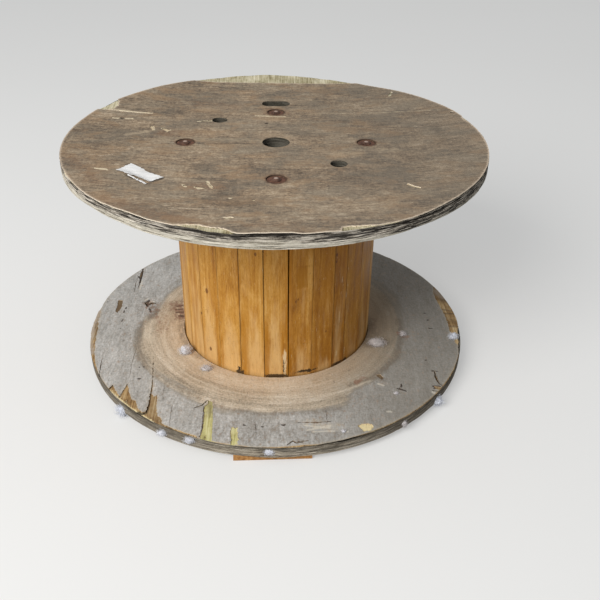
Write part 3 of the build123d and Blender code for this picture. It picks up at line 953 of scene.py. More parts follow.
def make_stave(index, rng):
    """One flat board of the barrel with eased, slightly wandering edges."""
    angle = CLOSING_ANGLE if index == 0 else STAVE_ANGLE
    first = CLOSING_BEARING + (CLOSING_ANGLE + STAVE_ANGLE) / 2
    bearing = CLOSING_BEARING if index == 0 else first + (index - 1) * STAVE_ANGLE
    node = "closing_stave" if index == 0 else f"stave_{index:02d}"
    inwards, left_cut, right_cut = STAVE_FIT.get(index, (rng.uniform(0.2, 1.3), 0.0, 0.0))
    slope = math.tan(math.radians(angle / 2))
    outer = BARREL * math.cos(math.radians(angle / 2)) - inwards * MM
    inner = outer - STAVE_THICKNESS
    ease = 1.2 * MM
    edge_gap = 0.35 * MM
    foot = FLOOR_FACE - GROOVE_DEPTH + 0.3 * MM
    head = UNDER + GROOVE_DEPTH - 0.3 * MM
    rows = []
    drift = [rng.uniform(-0.35, 0.35, 3) * MM for _ in range(2)]
    bow = rng.uniform(-0.5, 0.5) * MM
    phase = rng.uniform(0, math.tau)
    for z in np.linspace(foot, head, STAVE_ROWS):
        share = (z - foot) / (head - foot)
        sway = (math.sin(3 * share + phase), math.sin(9 * share + 2 * phase), 0.5 * math.sin(31 * share))
        wander = [sum(size * wave for size, wave in zip(sizes, sway)) for sizes in drift]
        opening = 0.4 + 0.6 * share
        left = -(outer * slope - edge_gap - left_cut * MM * opening) + wander[0]
        right = outer * slope - edge_gap - right_cut * MM * opening + wander[1]
        face = outer + bow * math.sin(math.pi * share)
        side = (face - inner) * slope
        run = np.linspace(left + ease, right - ease, STAVE_COLUMNS)
        cup = 0.25 * MM * ((run - run.mean()) / (right - left) * 2) ** 2
        v = [left + side, left, left + 0.3 * ease, *run, right - 0.3 * ease, right, right - side]
        u = [inner, face - ease, face - 0.3 * ease, *(face - cup), face - 0.3 * ease, face - ease, inner]
        rows.append(np.column_stack([u, v, np.full(len(u), z)]))
    width = len(rows[0])
    u, v, z = np.vstack(rows).T
    turn = math.radians(bearing)
    x = u * math.cos(turn) - v * math.sin(turn)
    y = u * math.sin(turn) + v * math.cos(turn)
    faces = []
    for low in range(0, len(v) - width, width):
        for column in range(width):
            after = (column + 1) % width
            faces.append((low + column, low + after, low + width + after, low + width + column))
    faces.append(tuple(range(width))[::-1])
    faces.append(tuple(range(len(v) - width, len(v))))
    board = make_piece(f"{node}_board", np.column_stack([x, y, z]), faces, [node], 30)
    tone = STAVE_TONES_AND_SHADE.get(index, rng.uniform(-0.3, 0.9))
    across, height = v / MM, z / MM
    masks = {name: np.zeros(len(v)) for name in ("knot", "bare", "scar", "runs", "foot_gap_shade", "blotch")}
    for knot_bearing, knot_height, size in KNOTS:
        offset = float(apart(knot_bearing, bearing))
        if abs(offset) < angle / 2:
            middle = outer / MM * math.tan(math.radians(offset))
            away = np.hypot(across - middle, (height - knot_height) / 1.6)
            masks["knot"] = np.maximum(masks["knot"], np.clip(1.6 - away / size, 0, 1))
    marks = STAVE_MARKS.get(index) or [
        ("runs", rng.uniform(-30, 30), rng.uniform(100, 500), rng.uniform(3, 9), rng.uniform(80, 260), 0.7)
        for _ in range(3)
    ]
    if index == BLOTCHED_STAVE:
        box = np.maximum(np.abs(across - 3) - 15, np.abs(height - 402) - 34)
        masks["blotch"] = np.clip(0.5 - box / 8, 0, 1) * np.clip(1.1 - (height - 380) / 130, 0.4, 1)
    for name, middle, level, half_width, half_height, strength in marks:
        reach = np.hypot((across - middle) / half_width, np.abs((height - level) / half_height) ** 1.5)
        masks[name] = np.maximum(masks[name], strength * np.clip((1.45 - reach) / 0.9, 0, 1))
    foot_middle, tip_middle, half_width, tip = THIN_VARNISH_AND_LIT_TONGUES.get(
        index, (rng.uniform(-12, 12), rng.uniform(-12, 12), rng.uniform(8, 26), rng.uniform(80, 400))
    )
    rise = np.clip((height - 60) / (tip - 60), 0, 1)
    reach = half_width * (1 - rise**2.2) - np.abs(across - foot_middle - (tip_middle - foot_middle) * rise)
    masks["thin_varnish_and_light"] = np.clip(0.5 + reach / 22, 0, 1) * np.clip(1.3 - 1.2 * rise, 0, 1)
    seam = np.clip((np.abs(across) - (outer * slope / MM - 2.0)) / 0.9, 0, 1)
    masks["seam"] = seam * np.where(v < 0, *SEAM_SHADE.get(index, (0.35, 0.35)))
    paint(board, across=v, lot=np.full(len(v), index * 3.7), tone=np.full(len(v), tone), **masks)
    return board


# Small things

LABEL_CORNERS = [(-423, -216), (-396, -167), (-297, -258), (-331, -293)]
STRIP_CORNERS = [(-391, -249), (-389, -245), (-334, -298), (-337, -304)]
# Tufts: x, y and z of the middle, full size along X, Y and Z in millimetres, and how grey from 0 to 1,
# partly from dust and partly painted shade
TUFTS = [
    (-449, -409, 24, 56, 44, 62, 0.05), (-320, -523, 37, 44, 26, 30, 0.2),
    (-240, -564, 48, 46, 26, 26, 0.25), (-21, -604, 37, 44, 12, 34, 0.15),
    (478, -380, 26, 54, 44, 46, 0.05), (362, -490, 34, 26, 24, 38, 0.7), (574, -108, 69, 44, 36, 30, 0.05),
    (-286, -181, 72, 54, 44, 40, 0.35), (-215, -262, 64, 50, 40, 14, 0.7), (320, -143, 71, 76, 50, 34, 0.8),
    (412, -86, 65, 32, 32, 18, 0.75), (184, -549, 62, 18, 16, 10, 0.4), (351, -386, 62, 20, 18, 10, 0.6),
    (-528, 281, 686, 34, 28, 8, 0.75),
]
# Where slivers lie: grain, first and last bearing, how many, and on which flange
SPLINTERS = [
    ("x", -116, -100, 10, "top"), ("x", -76, -66, 6, "top"), ("x", -136, -120, 6, "top"),
    ("x", 64, 118, 14, "top"), ("y", -146, -122, 22, "low"), ("y", -112, -108, 4, "low"),
    ("y", -88, -60, 8, "low"), ("y", -20, -4, 6, "low"), ("y", 172, 184, 8, "low"),
]


def make_paper(name, corners, seed, columns, lines, curled):
    """Torn piece of blank white paper, stuck down but for its near left edge.

    corners in millimetres: left, back, right, front.
    """
    corners = np.array(corners, float)
    rng = np.random.default_rng(seed)
    places = []
    for j in range(lines + 1):
        for i in range(columns + 1):
            u, v = i / columns, j / lines
            left = corners[0] + (corners[1] - corners[0]) * v
            right = corners[3] + (corners[2] - corners[3]) * v
            point = left + (right - left) * u
            on_edge = i in (0, columns) or j in (0, lines)
            point = point + rng.normal(0, 1.2 if on_edge else 0.2, 2)
            if curled:
                point[1] += 4.0 * math.sin(6 * u + 1) * (j == lines) - 3.0 * math.sin(5 * u) * (j == 0)
            places.append((*point, u, v))
    x, y, u, v = np.array(places).T
    curl = 7.0 * np.clip(0.32 - v, 0, 1) ** 1.4 * (0.4 + 0.6 * np.sin(math.pi * np.clip(1.1 - u, 0, 1)))
    creases = 0.35 * plane_noise(x, y, 40, 25, seed + 1) + 0.5 * np.abs(plane_noise(x, y, 90, 18, seed + 2))
    z = top_face(x * MM, y * MM) + (0.7 + creases + 3.2 * curl * curled) * MM
    sheet = np.column_stack([x * MM, y * MM, z])
    count = len(sheet)
    faces = []
    width = columns + 1
    for a in (j * width + i for j in range(lines) for i in range(columns)):
        faces.append((a, a + 1, a + 1 + width, a + width))
        faces.append((count + a + width, count + a + 1 + width, count + a + 1, count + a))
    ring = list(range(width)) + [j * width + columns for j in range(1, lines + 1)]
    ring += [lines * width + i for i in range(columns - 1, -1, -1)]
    ring += [j * width for j in range(lines - 1, 0, -1)]
    for a, b in zip(ring, ring[1:] + ring[:1]):
        faces.append((b, a, count + a, count + b))
    return make_piece(name, np.vstack([sheet, sheet - [0, 0, 0.25 * MM]]), faces, sharp=60)


def make_fluff(index, middle, size, dusty):
    """A tuft of pale fluff: a small lumpy core in a cloud of fine curled fibres."""
    rng = np.random.default_rng(300 + index)
    rings, turns = 14, 22
    way = np.array([
        (math.sin(math.pi * j / rings) * math.cos(math.tau * i / turns),
         math.sin(math.pi * j / rings) * math.sin(math.tau * i / turns), math.cos(math.pi * j / rings))
        for j in range(rings + 1) for i in range(turns)
    ])
    lumps = np.zeros(len(way))
    for _ in range(22):
        bump = rng.normal(size=3)
        bump /= np.linalg.norm(bump)
        lumps += rng.uniform(0.04, 0.16) * np.exp((way @ bump - 1) / 0.06)
    core = way * (0.5 + lumps)[:, None]
    faces = []
    for j in range(rings):
        for i in range(turns):
            a, b = j * turns + i, j * turns + (i + 1) % turns
            faces.append((a, a + turns, b + turns, b))

    count, steps = 330, 5
    root = rng.normal(size=(count, 1, 3))
    root /= np.linalg.norm(root, axis=2, keepdims=True)
    aim = np.cross(root, rng.normal(size=(count, 1, 3))) + root * rng.uniform(0.2, 1.1, (count, 1, 1))
    aim /= np.linalg.norm(aim, axis=2, keepdims=True)
    bend = rng.normal(0, 0.5, (count, 1, 3)) - 0.35 * root
    length = rng.uniform(0.35, 0.8, (count, 1, 1))
    t = np.linspace(0, 1, steps)[None, :, None]
    line = root * rng.uniform(0.3, 0.7, (count, 1, 1)) + length * (aim * t + 0.6 * bend * t * t)
    line /= np.maximum(np.linalg.norm(line, axis=2, keepdims=True), 1)
    turn = math.tau * np.arange(3) / 3
    section = np.column_stack([np.cos(turn), np.sin(turn), 0.6 * np.sin(turn + 1)])
    fibres = line[:, :, None, :] + 0.016 * (1 - 0.8 * t)[..., None] * section
    for start in range(len(core), len(core) + count * steps * 3, steps * 3):
        for step in range(steps - 1):
            for corner in range(3):
                a, b = start + 3 * step + corner, start + 3 * step + (corner + 1) % 3
                faces.append((a, b, b + 3, a + 3))
        tip = start + 3 * (steps - 1)
        faces += [(start + 2, start + 1, start), (tip, tip + 1, tip + 2)]
    cloud = np.vstack([core, fibres.reshape(-1, 3)]) * np.array(size) / 2 + np.array(middle)
    cloud[:, 1] = np.maximum(cloud[:, 1], -RIM / MM - 0.3)
    cloud[:, 2] = np.maximum(cloud[:, 2], 0.5)
    tuft = make_piece(f"fluff_tuft_{index:02d}", cloud * MM, faces, sharp=80)
    paint(tuft, dusty=np.full(len(cloud), dusty))
    return tuft


def make_splinters():
    """Loose slivers of wood along both rims, lying with the grain they tore from."""
    rng = np.random.default_rng(71)
    vertices = []
    faces = []
    shape = [(0, 2, 1), (1, 2, 3), (0, 1, 4), (0, 4, 5), (0, 5, 2), (1, 3, 4), (4, 3, 5), (5, 3, 2)]
    for grain, first, last, count, flange in SPLINTERS:
        for _ in range(count):
            bearing = rng.uniform(first, last)
            length = rng.uniform(9, 26) * MM
            wide = rng.uniform(0.8, 2.2) * MM
            radius = RIM - rng.uniform(4, 16) * MM
            x, y = polar(radius, bearing)
            z = FLOOR_FACE - VENEER
            if flange == "top":
                z = float(top_body_over(np.array([x]), np.array([y]))[0])
            z += rng.uniform(-1.5, 0.6) * MM
            turn = rng.normal(0, 0.22) + (0 if grain == "x" else math.pi / 2)
            run = np.array([math.cos(turn), math.sin(turn), rng.normal(0, 0.06)])
            side = np.array([-math.sin(turn), math.cos(turn), 0]) * wide / 2
            up = np.array([0, 0, 0.5 * MM])
            middle = np.array([x, y, z + 0.6 * MM])
            half = run * min(length / 2, max(2 * MM, (RIM - radius) * 1.1))
            base = len(vertices)
            tip = middle + half * rng.uniform(0.7, 1.0)
            vertices += [middle - half, middle - side, middle + side * 0.8, tip]
            vertices += [middle - side * 0.6 + up, middle + side * 0.5 + up]
            faces += [tuple(base + corner for corner in face) for face in shape]
    return make_piece("rim_splinters", vertices, faces, sharp=20)


# Materials

# Noises of a face veneer: waves along and across the grain, detail, roughness and distortion.
# The first five give its tone, the third being its fibres, and the last two specks and flecks
FACE_NOISES = [
    (4.5, 8, 5, 0.62, 0.8), (13, 62, 5, 0.62, 0.4), (48, 170, 4, 0.68), (120, 38, 4, 0.65),
    (150, 150, 4, 0.7), (90, 200, 3, 0.6), (70, 190, 2, 0.5),
]
# How far noise shifts the soft edge of a painted mark, unless a mark says otherwise
WOBBLE = 2.4


class Finish:
    """A node material while it is being put together."""

    def __init__(self, name):
        self.material = bpy.data.materials.new(name)
        self.material.use_nodes = True
        self.tree = self.material.node_tree
        self.shader = self.tree.nodes["Principled BSDF"]
        self.place = self.tree.nodes.new("ShaderNodeTexCoord").outputs["Object"]
        self.x, self.y, self.z = self.node("ShaderNodeSeparateXYZ", {0: self.place}).outputs

    def node(self, kind, feeds=(), **settings):
        made = self.tree.nodes.new(kind)
        for key, value in settings.items():
            setattr(made, key, value)
        for key, value in dict(feeds).items():
            self.feed(made.inputs[key], value)
        return made

    def feed(self, socket, value):
        if isinstance(value, bpy.types.NodeSocket):
            self.tree.links.new(value, socket)
        elif socket.type == "RGBA" and len(value) == 3:
            socket.default_value = (*value, 1)
        else:
            socket.default_value = value

    def noise(self, scale, detail=4.0, roughness=0.6, distortion=0.0, place=None):
        """Noise from 0 to 1; scale is waves in a metre along X, Y and Z."""
        feeds = {0: place or self.place, 1: scale}
        stretched = self.node("ShaderNodeVectorMath", feeds, operation="MULTIPLY").outputs[0]
        feeds = {"Vector": stretched, "Scale": 1.0, "Detail": detail, "Roughness": roughness}
        feeds["Distortion"] = distortion
        return self.node("ShaderNodeTexNoise", feeds).outputs["Fac"]

    def math(self, operation, first, second=0.0, clamp=False):
        feeds = {0: first, 1: second}
        return self.node("ShaderNodeMath", feeds, operation=operation, use_clamp=clamp).outputs[0]

    def plus(self, value, other, share=1.0):
        """A value with a share of another added to it."""
        return self.math("ADD", value, self.math("MULTIPLY", other, share))

    def blend(self, *parts):
        """Weighted sum of values, given as (weight, value)."""
        (weight, value), *rest = parts
        total = self.math("MULTIPLY", value, weight)
        for weight, value in rest:
            total = self.plus(total, value, weight)
        return total

    def about_middle(self, value, gain):
        """How far a noise lies past its middle, times a gain."""
        return self.math("MULTIPLY", self.math("SUBTRACT", value, 0.5), gain)

    def away_from(self, value, middle):
        return self.math("ABSOLUTE", self.math("SUBTRACT", value, middle))

    def span(self, value, low, high, to_low=0.0, to_high=1.0):
        """Stretch a range of a value to another range, smoothly and without going past it."""
        feeds = {"Value": value, "From Min": low, "From Max": high, "To Min": to_low, "To Max": to_high}
        return self.node("ShaderNodeMapRange", feeds, interpolation_type="SMOOTHSTEP").outputs[0]

    def fade(self, value, low, high):
        """1 below a range of a value, falling to 0 above it."""
        return self.span(value, low, high, 1.0, 0.0)

    def mix(self, share, first, second):
        made = self.node("ShaderNodeMix", {0: share}, data_type="RGBA", blend_type="MIX")
        self.feed(made.inputs[6], first)
        self.feed(made.inputs[7], second)
        return made.outputs[2]

    def ramp(self, value, *stops):
        """Colours along a value from 0 to 1, each stop given as its place, red, green and blue."""
        made = self.node("ShaderNodeValToRGB", {0: value})
        elements = made.color_ramp.elements
        while len(elements) < len(stops):
            elements.new(0.5)
        for element, (position, *colour) in zip(elements, stops):
            element.position = position
            element.color = (*colour, 1)
        return made.outputs[0]

    def painted(self, name):
        """The number that paint() kept for each corner."""
        return self.node("ShaderNodeAttribute", attribute_name=name).outputs["Fac"]

    def ragged(self, mask, noise, softness=0.12, wobble=WOBBLE):
        """A painted mask with its soft edge broken up by noise."""
        shifted = self.math("ADD", self.painted(mask), self.about_middle(noise, wobble))
        return self.span(shifted, 0.5 - softness, 0.5 + softness)

    def wall(self):
        """1 on the walls of a plate, 0 on its level sides."""
        return self.fade(self.away_from(self.painted("level"), 0.5), 0.496, 0.4985)

    def spread(self, value, gain):
        """Spread the values of a noise about their middle, from 0 to 1."""
        return self.math("ADD", self.about_middle(value, gain), 0.5, clamp=True)

    def stain(self, colour, mask, strength, over):
        """Lay a colour over another where a mask says so."""
        return self.mix(self.math("MULTIPLY", mask, strength), colour, over)

    def marks(self, colour, rows):
        """Lay painted marks over a colour: name, edge noise, softness, wobble, strength and colour."""
        for name, noise, softness, wobble, strength, over in rows:
            colour = self.stain(colour, self.ragged(name, noise, softness, wobble), strength, over)
        return colour

    def radius(self):
        """Distance from the drum's axis."""
        x, y = self.x, self.y
        return self.math("SQRT", self.plus(self.math("MULTIPLY", x, x), self.math("MULTIPLY", y, y)))

    def done(self, colour, roughness, height=None, depth=0.0, specular=0.3):
        """Connect the shader; depth is how deep the relief is, in metres."""
        feeds = {"Base Color": colour, "Roughness": roughness, "Specular IOR Level": specular}
        if height is not None:
            bump = self.node("ShaderNodeBump", {"Height": height, "Distance": depth, "Strength": 1.0})
            feeds["Normal"] = bump.outputs[0]
        for name, value in feeds.items():
            self.feed(self.shader.inputs[name], value)
        return self.material


def face_wood(name, grained, weights, gain):
    """Weathered face veneer: the finish, its fibres, its tone, and noises for specks and flecks."""
    finish = Finish(name)
    noises = [finish.noise(grained(run, cross), *rest) for run, cross, *rest in FACE_NOISES]
    *layers, specks, flecks = noises
    fibres = layers[2]
    return finish, fibres, finish.spread(finish.blend(*zip(weights, layers)), gain), specks, flecks


def top_veneer_finish():
    finish, fibres, tone, specks, flecks = face_wood(
        "weathered_top_veneer", lambda run, cross: (run, cross, run), (0.24, 0.20, 0.24, 0.13, 0.19), 6.2,
    )
    colour = finish.ramp(
        tone, (0.0, 0.112, 0.082, 0.058), (0.28, 0.212, 0.156, 0.106), (0.5, 0.312, 0.230, 0.153),
        (0.74, 0.415, 0.315, 0.213), (1.0, 0.55, 0.44, 0.315),
    )
    hue = finish.noise((7, 11, 7), 5, 0.65, 0.5)
    warm = finish.noise((9, 16, 9), 5, 0.66, 0.3)
    for where, strength, over in (
        (finish.spread(hue, 6), 0.42, (0.205, 0.184, 0.145)),
        (finish.span(warm, 0.50, 0.62), 0.42, (0.37, 0.235, 0.13)),
        # Painted shade: darker towards the right
        (finish.span(finish.plus(finish.x, hue, 0.5), 0.15, 0.75), 0.42, (0.185, 0.156, 0.122)),
        (finish.span(specks, 0.62, 0.70), 0.6, (0.06, 0.045, 0.034)),
        (finish.span(flecks, 0.68, 0.75), 0.5, (0.56, 0.46, 0.33)),
    ):
        colour = finish.stain(colour, where, strength, over)
    edge = finish.noise((60, 260, 60), 4)
    colour = finish.marks(colour, [
        ("tint", edge, 0.35, WOBBLE, 0.5, (0.26, 0.135, 0.068)),
        ("dark", edge, 0.35, WOBBLE, 0.5, (0.085, 0.070, 0.055)),
        ("pale", edge, 0.35, WOBBLE, 0.6, (0.52, 0.41, 0.28)),
        ("fresh", edge, 0.2, 1.2, 0.9, (0.78, 0.66, 0.46)),
        ("margin", edge, 0.3, 1.6, 0.75, (0.68, 0.55, 0.42)),
    ])
    # Walls of the veneer: painted shade on those in the holes near the axis, pale wood on those further out
    side = finish.mix(finish.span(finish.radius(), 0.42, 0.46), (0.11, 0.092, 0.070), (0.84, 0.74, 0.60))
    colour = finish.stain(colour, finish.wall(), 0.9, side)
    colour = finish.stain(colour, finish.painted("rust"), 0.9, (0.060, 0.030, 0.019))
    colour = finish.marks(colour, [("dots", edge, 0.2, WOBBLE, 0.9, (0.045, 0.034, 0.026))])
    height = finish.blend((0.5, fibres), (0.7, tone))
    return finish.done(colour, finish.span(tone, 0.2, 0.8, 0.68, 0.86), height, 0.0011, 0.3)


def lower_veneer_finish():
    finish, fibres, tone, specks, flecks = face_wood(
        "weathered_lower_veneer", lambda run, cross: (cross, run, run), (0.18, 0.20, 0.26, 0.08, 0.28), 4.6,
    )
    grey = finish.ramp(
        tone, (0.0, 0.220, 0.206, 0.186), (0.28, 0.342, 0.333, 0.312), (0.5, 0.431, 0.425, 0.407),
        (0.74, 0.520, 0.516, 0.500), (1.0, 0.65, 0.648, 0.632),
    )
    x, radius = finish.x, finish.radius()
    turn = finish.math("ARCTAN2", x, finish.math("MULTIPLY", finish.y, -1.0))
    swirl = finish.node("ShaderNodeCombineXYZ", {0: radius, 1: turn}).outputs[0]
    bands = finish.noise((44, 0.9, 1), 4, 0.55, 0.3, swirl)
    scratches = finish.noise((260, 5, 1), 4, 0.6, 0.0, swirl)
    soft = finish.noise((14, 9, 9), 4, 0.6, 0.5)
    grains = finish.noise((170, 170, 170), 3, 0.65)
    worn = finish.spread(finish.blend((0.28, bands), (0.2, scratches), (0.24, soft), (0.28, grains)), 5.2)
    tan = finish.ramp(
        worn, (0.0, 0.24, 0.208, 0.162), (0.3, 0.395, 0.345, 0.272), (0.52, 0.505, 0.432, 0.335),
        (0.76, 0.60, 0.525, 0.42), (1.0, 0.70, 0.63, 0.53),
    )
    close = finish.fade(finish.plus(radius, soft, 0.12), 0.36, 0.52)
    tan = finish.stain(tan, close, 0.5, (0.60, 0.40, 0.225))
    mask = finish.math("ADD", finish.painted("rubbed"), finish.about_middle(bands, 1.3))
    mask = finish.math("ADD", mask, finish.about_middle(soft, 0.5))
    colour = finish.mix(finish.span(mask, 0.25, 0.8), grey, tan)
    for where, strength, over in (
        (finish.fade(finish.away_from(mask, 0.42), 0.0, 0.3), 0.4, (0.235, 0.205, 0.155)),
        (finish.span(specks, 0.63, 0.71), 0.5, (0.12, 0.10, 0.08)),
        (finish.span(flecks, 0.67, 0.74), 0.4, (0.70, 0.67, 0.62)),
        # Painted shade: darker towards the right
        (finish.span(finish.plus(x, soft, 0.2), 0.1, 0.5), 0.64, (0.180, 0.160, 0.128)),
    ):
        colour = finish.stain(colour, where, strength, over)
    edge = finish.noise((90, 60, 60), 4)
    colour = finish.marks(colour, [
        ("dark", edge, 0.4, WOBBLE, 0.52, (0.14, 0.11, 0.08)),
        ("pale", edge, 0.45, WOBBLE, 0.38, (0.74, 0.66, 0.53)),
        ("fresh", edge, 0.3, 1.2, 0.5, (0.74, 0.70, 0.60)),
        ("dots", edge, 0.2, 1.3, 0.9, (0.045, 0.034, 0.027)),
        ("tint", edge, 0.35, WOBBLE, 0.6, (0.26, 0.13, 0.08)),
    ])
    colour = finish.stain(colour, finish.painted("margin"), 0.35, (0.52, 0.46, 0.36))
    side = finish.mix(finish.span(soft, 0.45, 0.6), (0.50, 0.36, 0.22), (0.56, 0.49, 0.38))
    colour = finish.stain(colour, finish.wall(), 0.75, side)
    height = finish.blend((0.5, fibres), (0.7, tone))
    return finish.done(colour, finish.span(tone, 0.2, 0.8, 0.72, 0.9), height, 0.0006, 0.25)


def body_finish(name, upper):
    """Plywood body: layered edges, and the pale second ply where the face veneer is gone."""
    finish = Finish(name)
    level = finish.painted("level")
    ply = finish.math("MULTIPLY", level, PLIES)
    layer = finish.math("FLOOR", finish.math("ADD", ply, 0.001))
    part = finish.away_from(finish.math("SUBTRACT", ply, layer), 0.5)
    lot = finish.node("ShaderNodeTexWhiteNoise", {"W": layer}, noise_dimensions="1D").outputs["Value"]
    dashes = finish.noise((17, 17, 360), 4, 0.64)
    hairs = finish.noise((60, 60, 900), 3, 0.6)
    wear = finish.noise((9, 9, 60), 4, 0.6, 0.4)
    grains = finish.noise((260, 260, 330), 3, 0.65)
    split = finish.fade(finish.away_from(finish.noise((6, 6, 130), 3, 0.6, 0.3), 0.5), 0.03, 0.06)
    split = finish.math("MULTIPLY", split, finish.span(wear, 0.42, 0.50))
    tone = finish.blend((0.42, dashes), (0.18, wear), (0.20, hairs), (0.14, grains), (0.06, lot))
    tone = finish.spread(tone, 6.5 if upper else 5.0)
    cross_fibres = finish.noise((220, 9, 30), 5, 0.65)
    patches = finish.noise((16, 16, 16), 4, 0.6)
    bare = finish.spread(finish.blend((0.55, cross_fibres), (0.45, patches)), 3.6)
    if upper:
        old = finish.ramp(
            tone, (0.0, 0.016, 0.013, 0.011), (0.20, 0.11, 0.095, 0.076), (0.42, 0.28, 0.248, 0.205),
            (0.68, 0.47, 0.425, 0.36), (1.0, 0.70, 0.65, 0.57),
        )
        young = finish.ramp(
            tone, (0.0, 0.22, 0.195, 0.155), (0.22, 0.42, 0.385, 0.315), (0.5, 0.56, 0.52, 0.435),
            (1.0, 0.72, 0.68, 0.59),
        )
        # The rim's plies grow darker towards the right: partly weathering, partly painted shade
        drift = finish.span(finish.plus(finish.x, wear, 0.1), 0.05, 0.42, 0.0, 0.34)
        border = finish.blend((1.0, level), (0.7, wear), (0.25, dashes), (1.0, drift))
        older = finish.span(border, 0.90, 1.06)
        split = finish.math("MULTIPLY", split, finish.span(older, 0.0, 1.0, 0.25, 1.0))
        second = finish.ramp(
            bare, (0.0, 0.17, 0.135, 0.07), (0.3, 0.40, 0.35, 0.21), (0.6, 0.60, 0.54, 0.37),
            (1.0, 0.82, 0.76, 0.58),
        )
        second = finish.stain(second, finish.fade(finish.radius(), 0.44, 0.50), 0.8, (0.70, 0.55, 0.37))
    else:
        old = finish.ramp(
            tone, (0.0, 0.035, 0.028, 0.021), (0.25, 0.105, 0.087, 0.064), (0.5, 0.20, 0.173, 0.132),
            (0.75, 0.31, 0.275, 0.22), (1.0, 0.50, 0.455, 0.38),
        )
        young = finish.ramp(
            tone, (0.0, 0.10, 0.08, 0.06), (0.25, 0.23, 0.195, 0.15), (0.55, 0.38, 0.335, 0.265),
            (1.0, 0.60, 0.54, 0.45),
        )
        older = finish.span(finish.blend((0.5, level), (1.0, wear)), 0.62, 0.85)
        second = finish.ramp(
            bare, (0.0, 0.09, 0.050, 0.022), (0.3, 0.27, 0.165, 0.072), (0.6, 0.45, 0.305, 0.145),
            (1.0, 0.70, 0.56, 0.34),
        )
        green = finish.ramp(
            bare, (0.0, 0.24, 0.215, 0.07), (0.45, 0.56, 0.53, 0.24), (1.0, 0.76, 0.74, 0.45),
        )
        second = finish.mix(finish.painted("green"), second, green)
        second = finish.stain(second, finish.painted("aged"), 0.8, (0.125, 0.090, 0.060))
        second = finish.stain(second, finish.painted("faded"), 0.8, (0.46, 0.40, 0.335))
    edge = finish.mix(older, young, old)
    edge = finish.stain(edge, finish.span(part, 0.39, 0.49), 0.45, (0.055, 0.042, 0.032))
    edge = finish.stain(edge, split, 0.9 if upper else 0.5, (0.014, 0.012, 0.010))
    # Painted shade in the grooves, darker where the sunk mark is deeper
    edge = finish.stain(edge, finish.span(finish.painted("sunk"), 1.5, 3.6), 0.92, (0.014, 0.011, 0.009))
    if not upper:
        shaded = finish.span(finish.away_from(finish.x, 0.02), 0.12, 0.36)
        edge = finish.stain(edge, shaded, 0.5, (0.105, 0.090, 0.070))
    # Painted shade on the walls of holes, grooves and recesses within about 0.45 m of the axis
    edge = finish.stain(edge, finish.fade(finish.radius(), 0.45, 0.5), 0.86, (0.050, 0.046, 0.034))
    if not upper:
        cream = finish.ragged("cream", cross_fibres, 0.4, 1.2)
        edge = finish.stain(edge, cream, 0.8, (0.80, 0.68, 0.47))
        second = finish.stain(second, cream, 0.85, (0.86, 0.74, 0.44))
    wall = finish.wall()
    colour = finish.mix(wall, second, edge)
    # Painted shade in the gaps under the lifted face veneer
    gap = finish.ragged("gap", finish.noise((30, 30, 60), 4, 0.65), 0.5, 1.3)
    colour = finish.stain(colour, gap, 0.97, (0.010, 0.008, 0.007))
    # Painted shade in cracks and nail holes, and painted shadows along the lifted tongues
    colour = finish.stain(colour, finish.painted("crack"), 0.95, (0.013, 0.009, 0.007))
    colour = finish.stain(colour, finish.painted("rust"), 0.9, (0.050, 0.024, 0.015))
    return finish.done(colour, 0.85, finish.mix(wall, cross_fibres, dashes), 0.0014, 0.2)


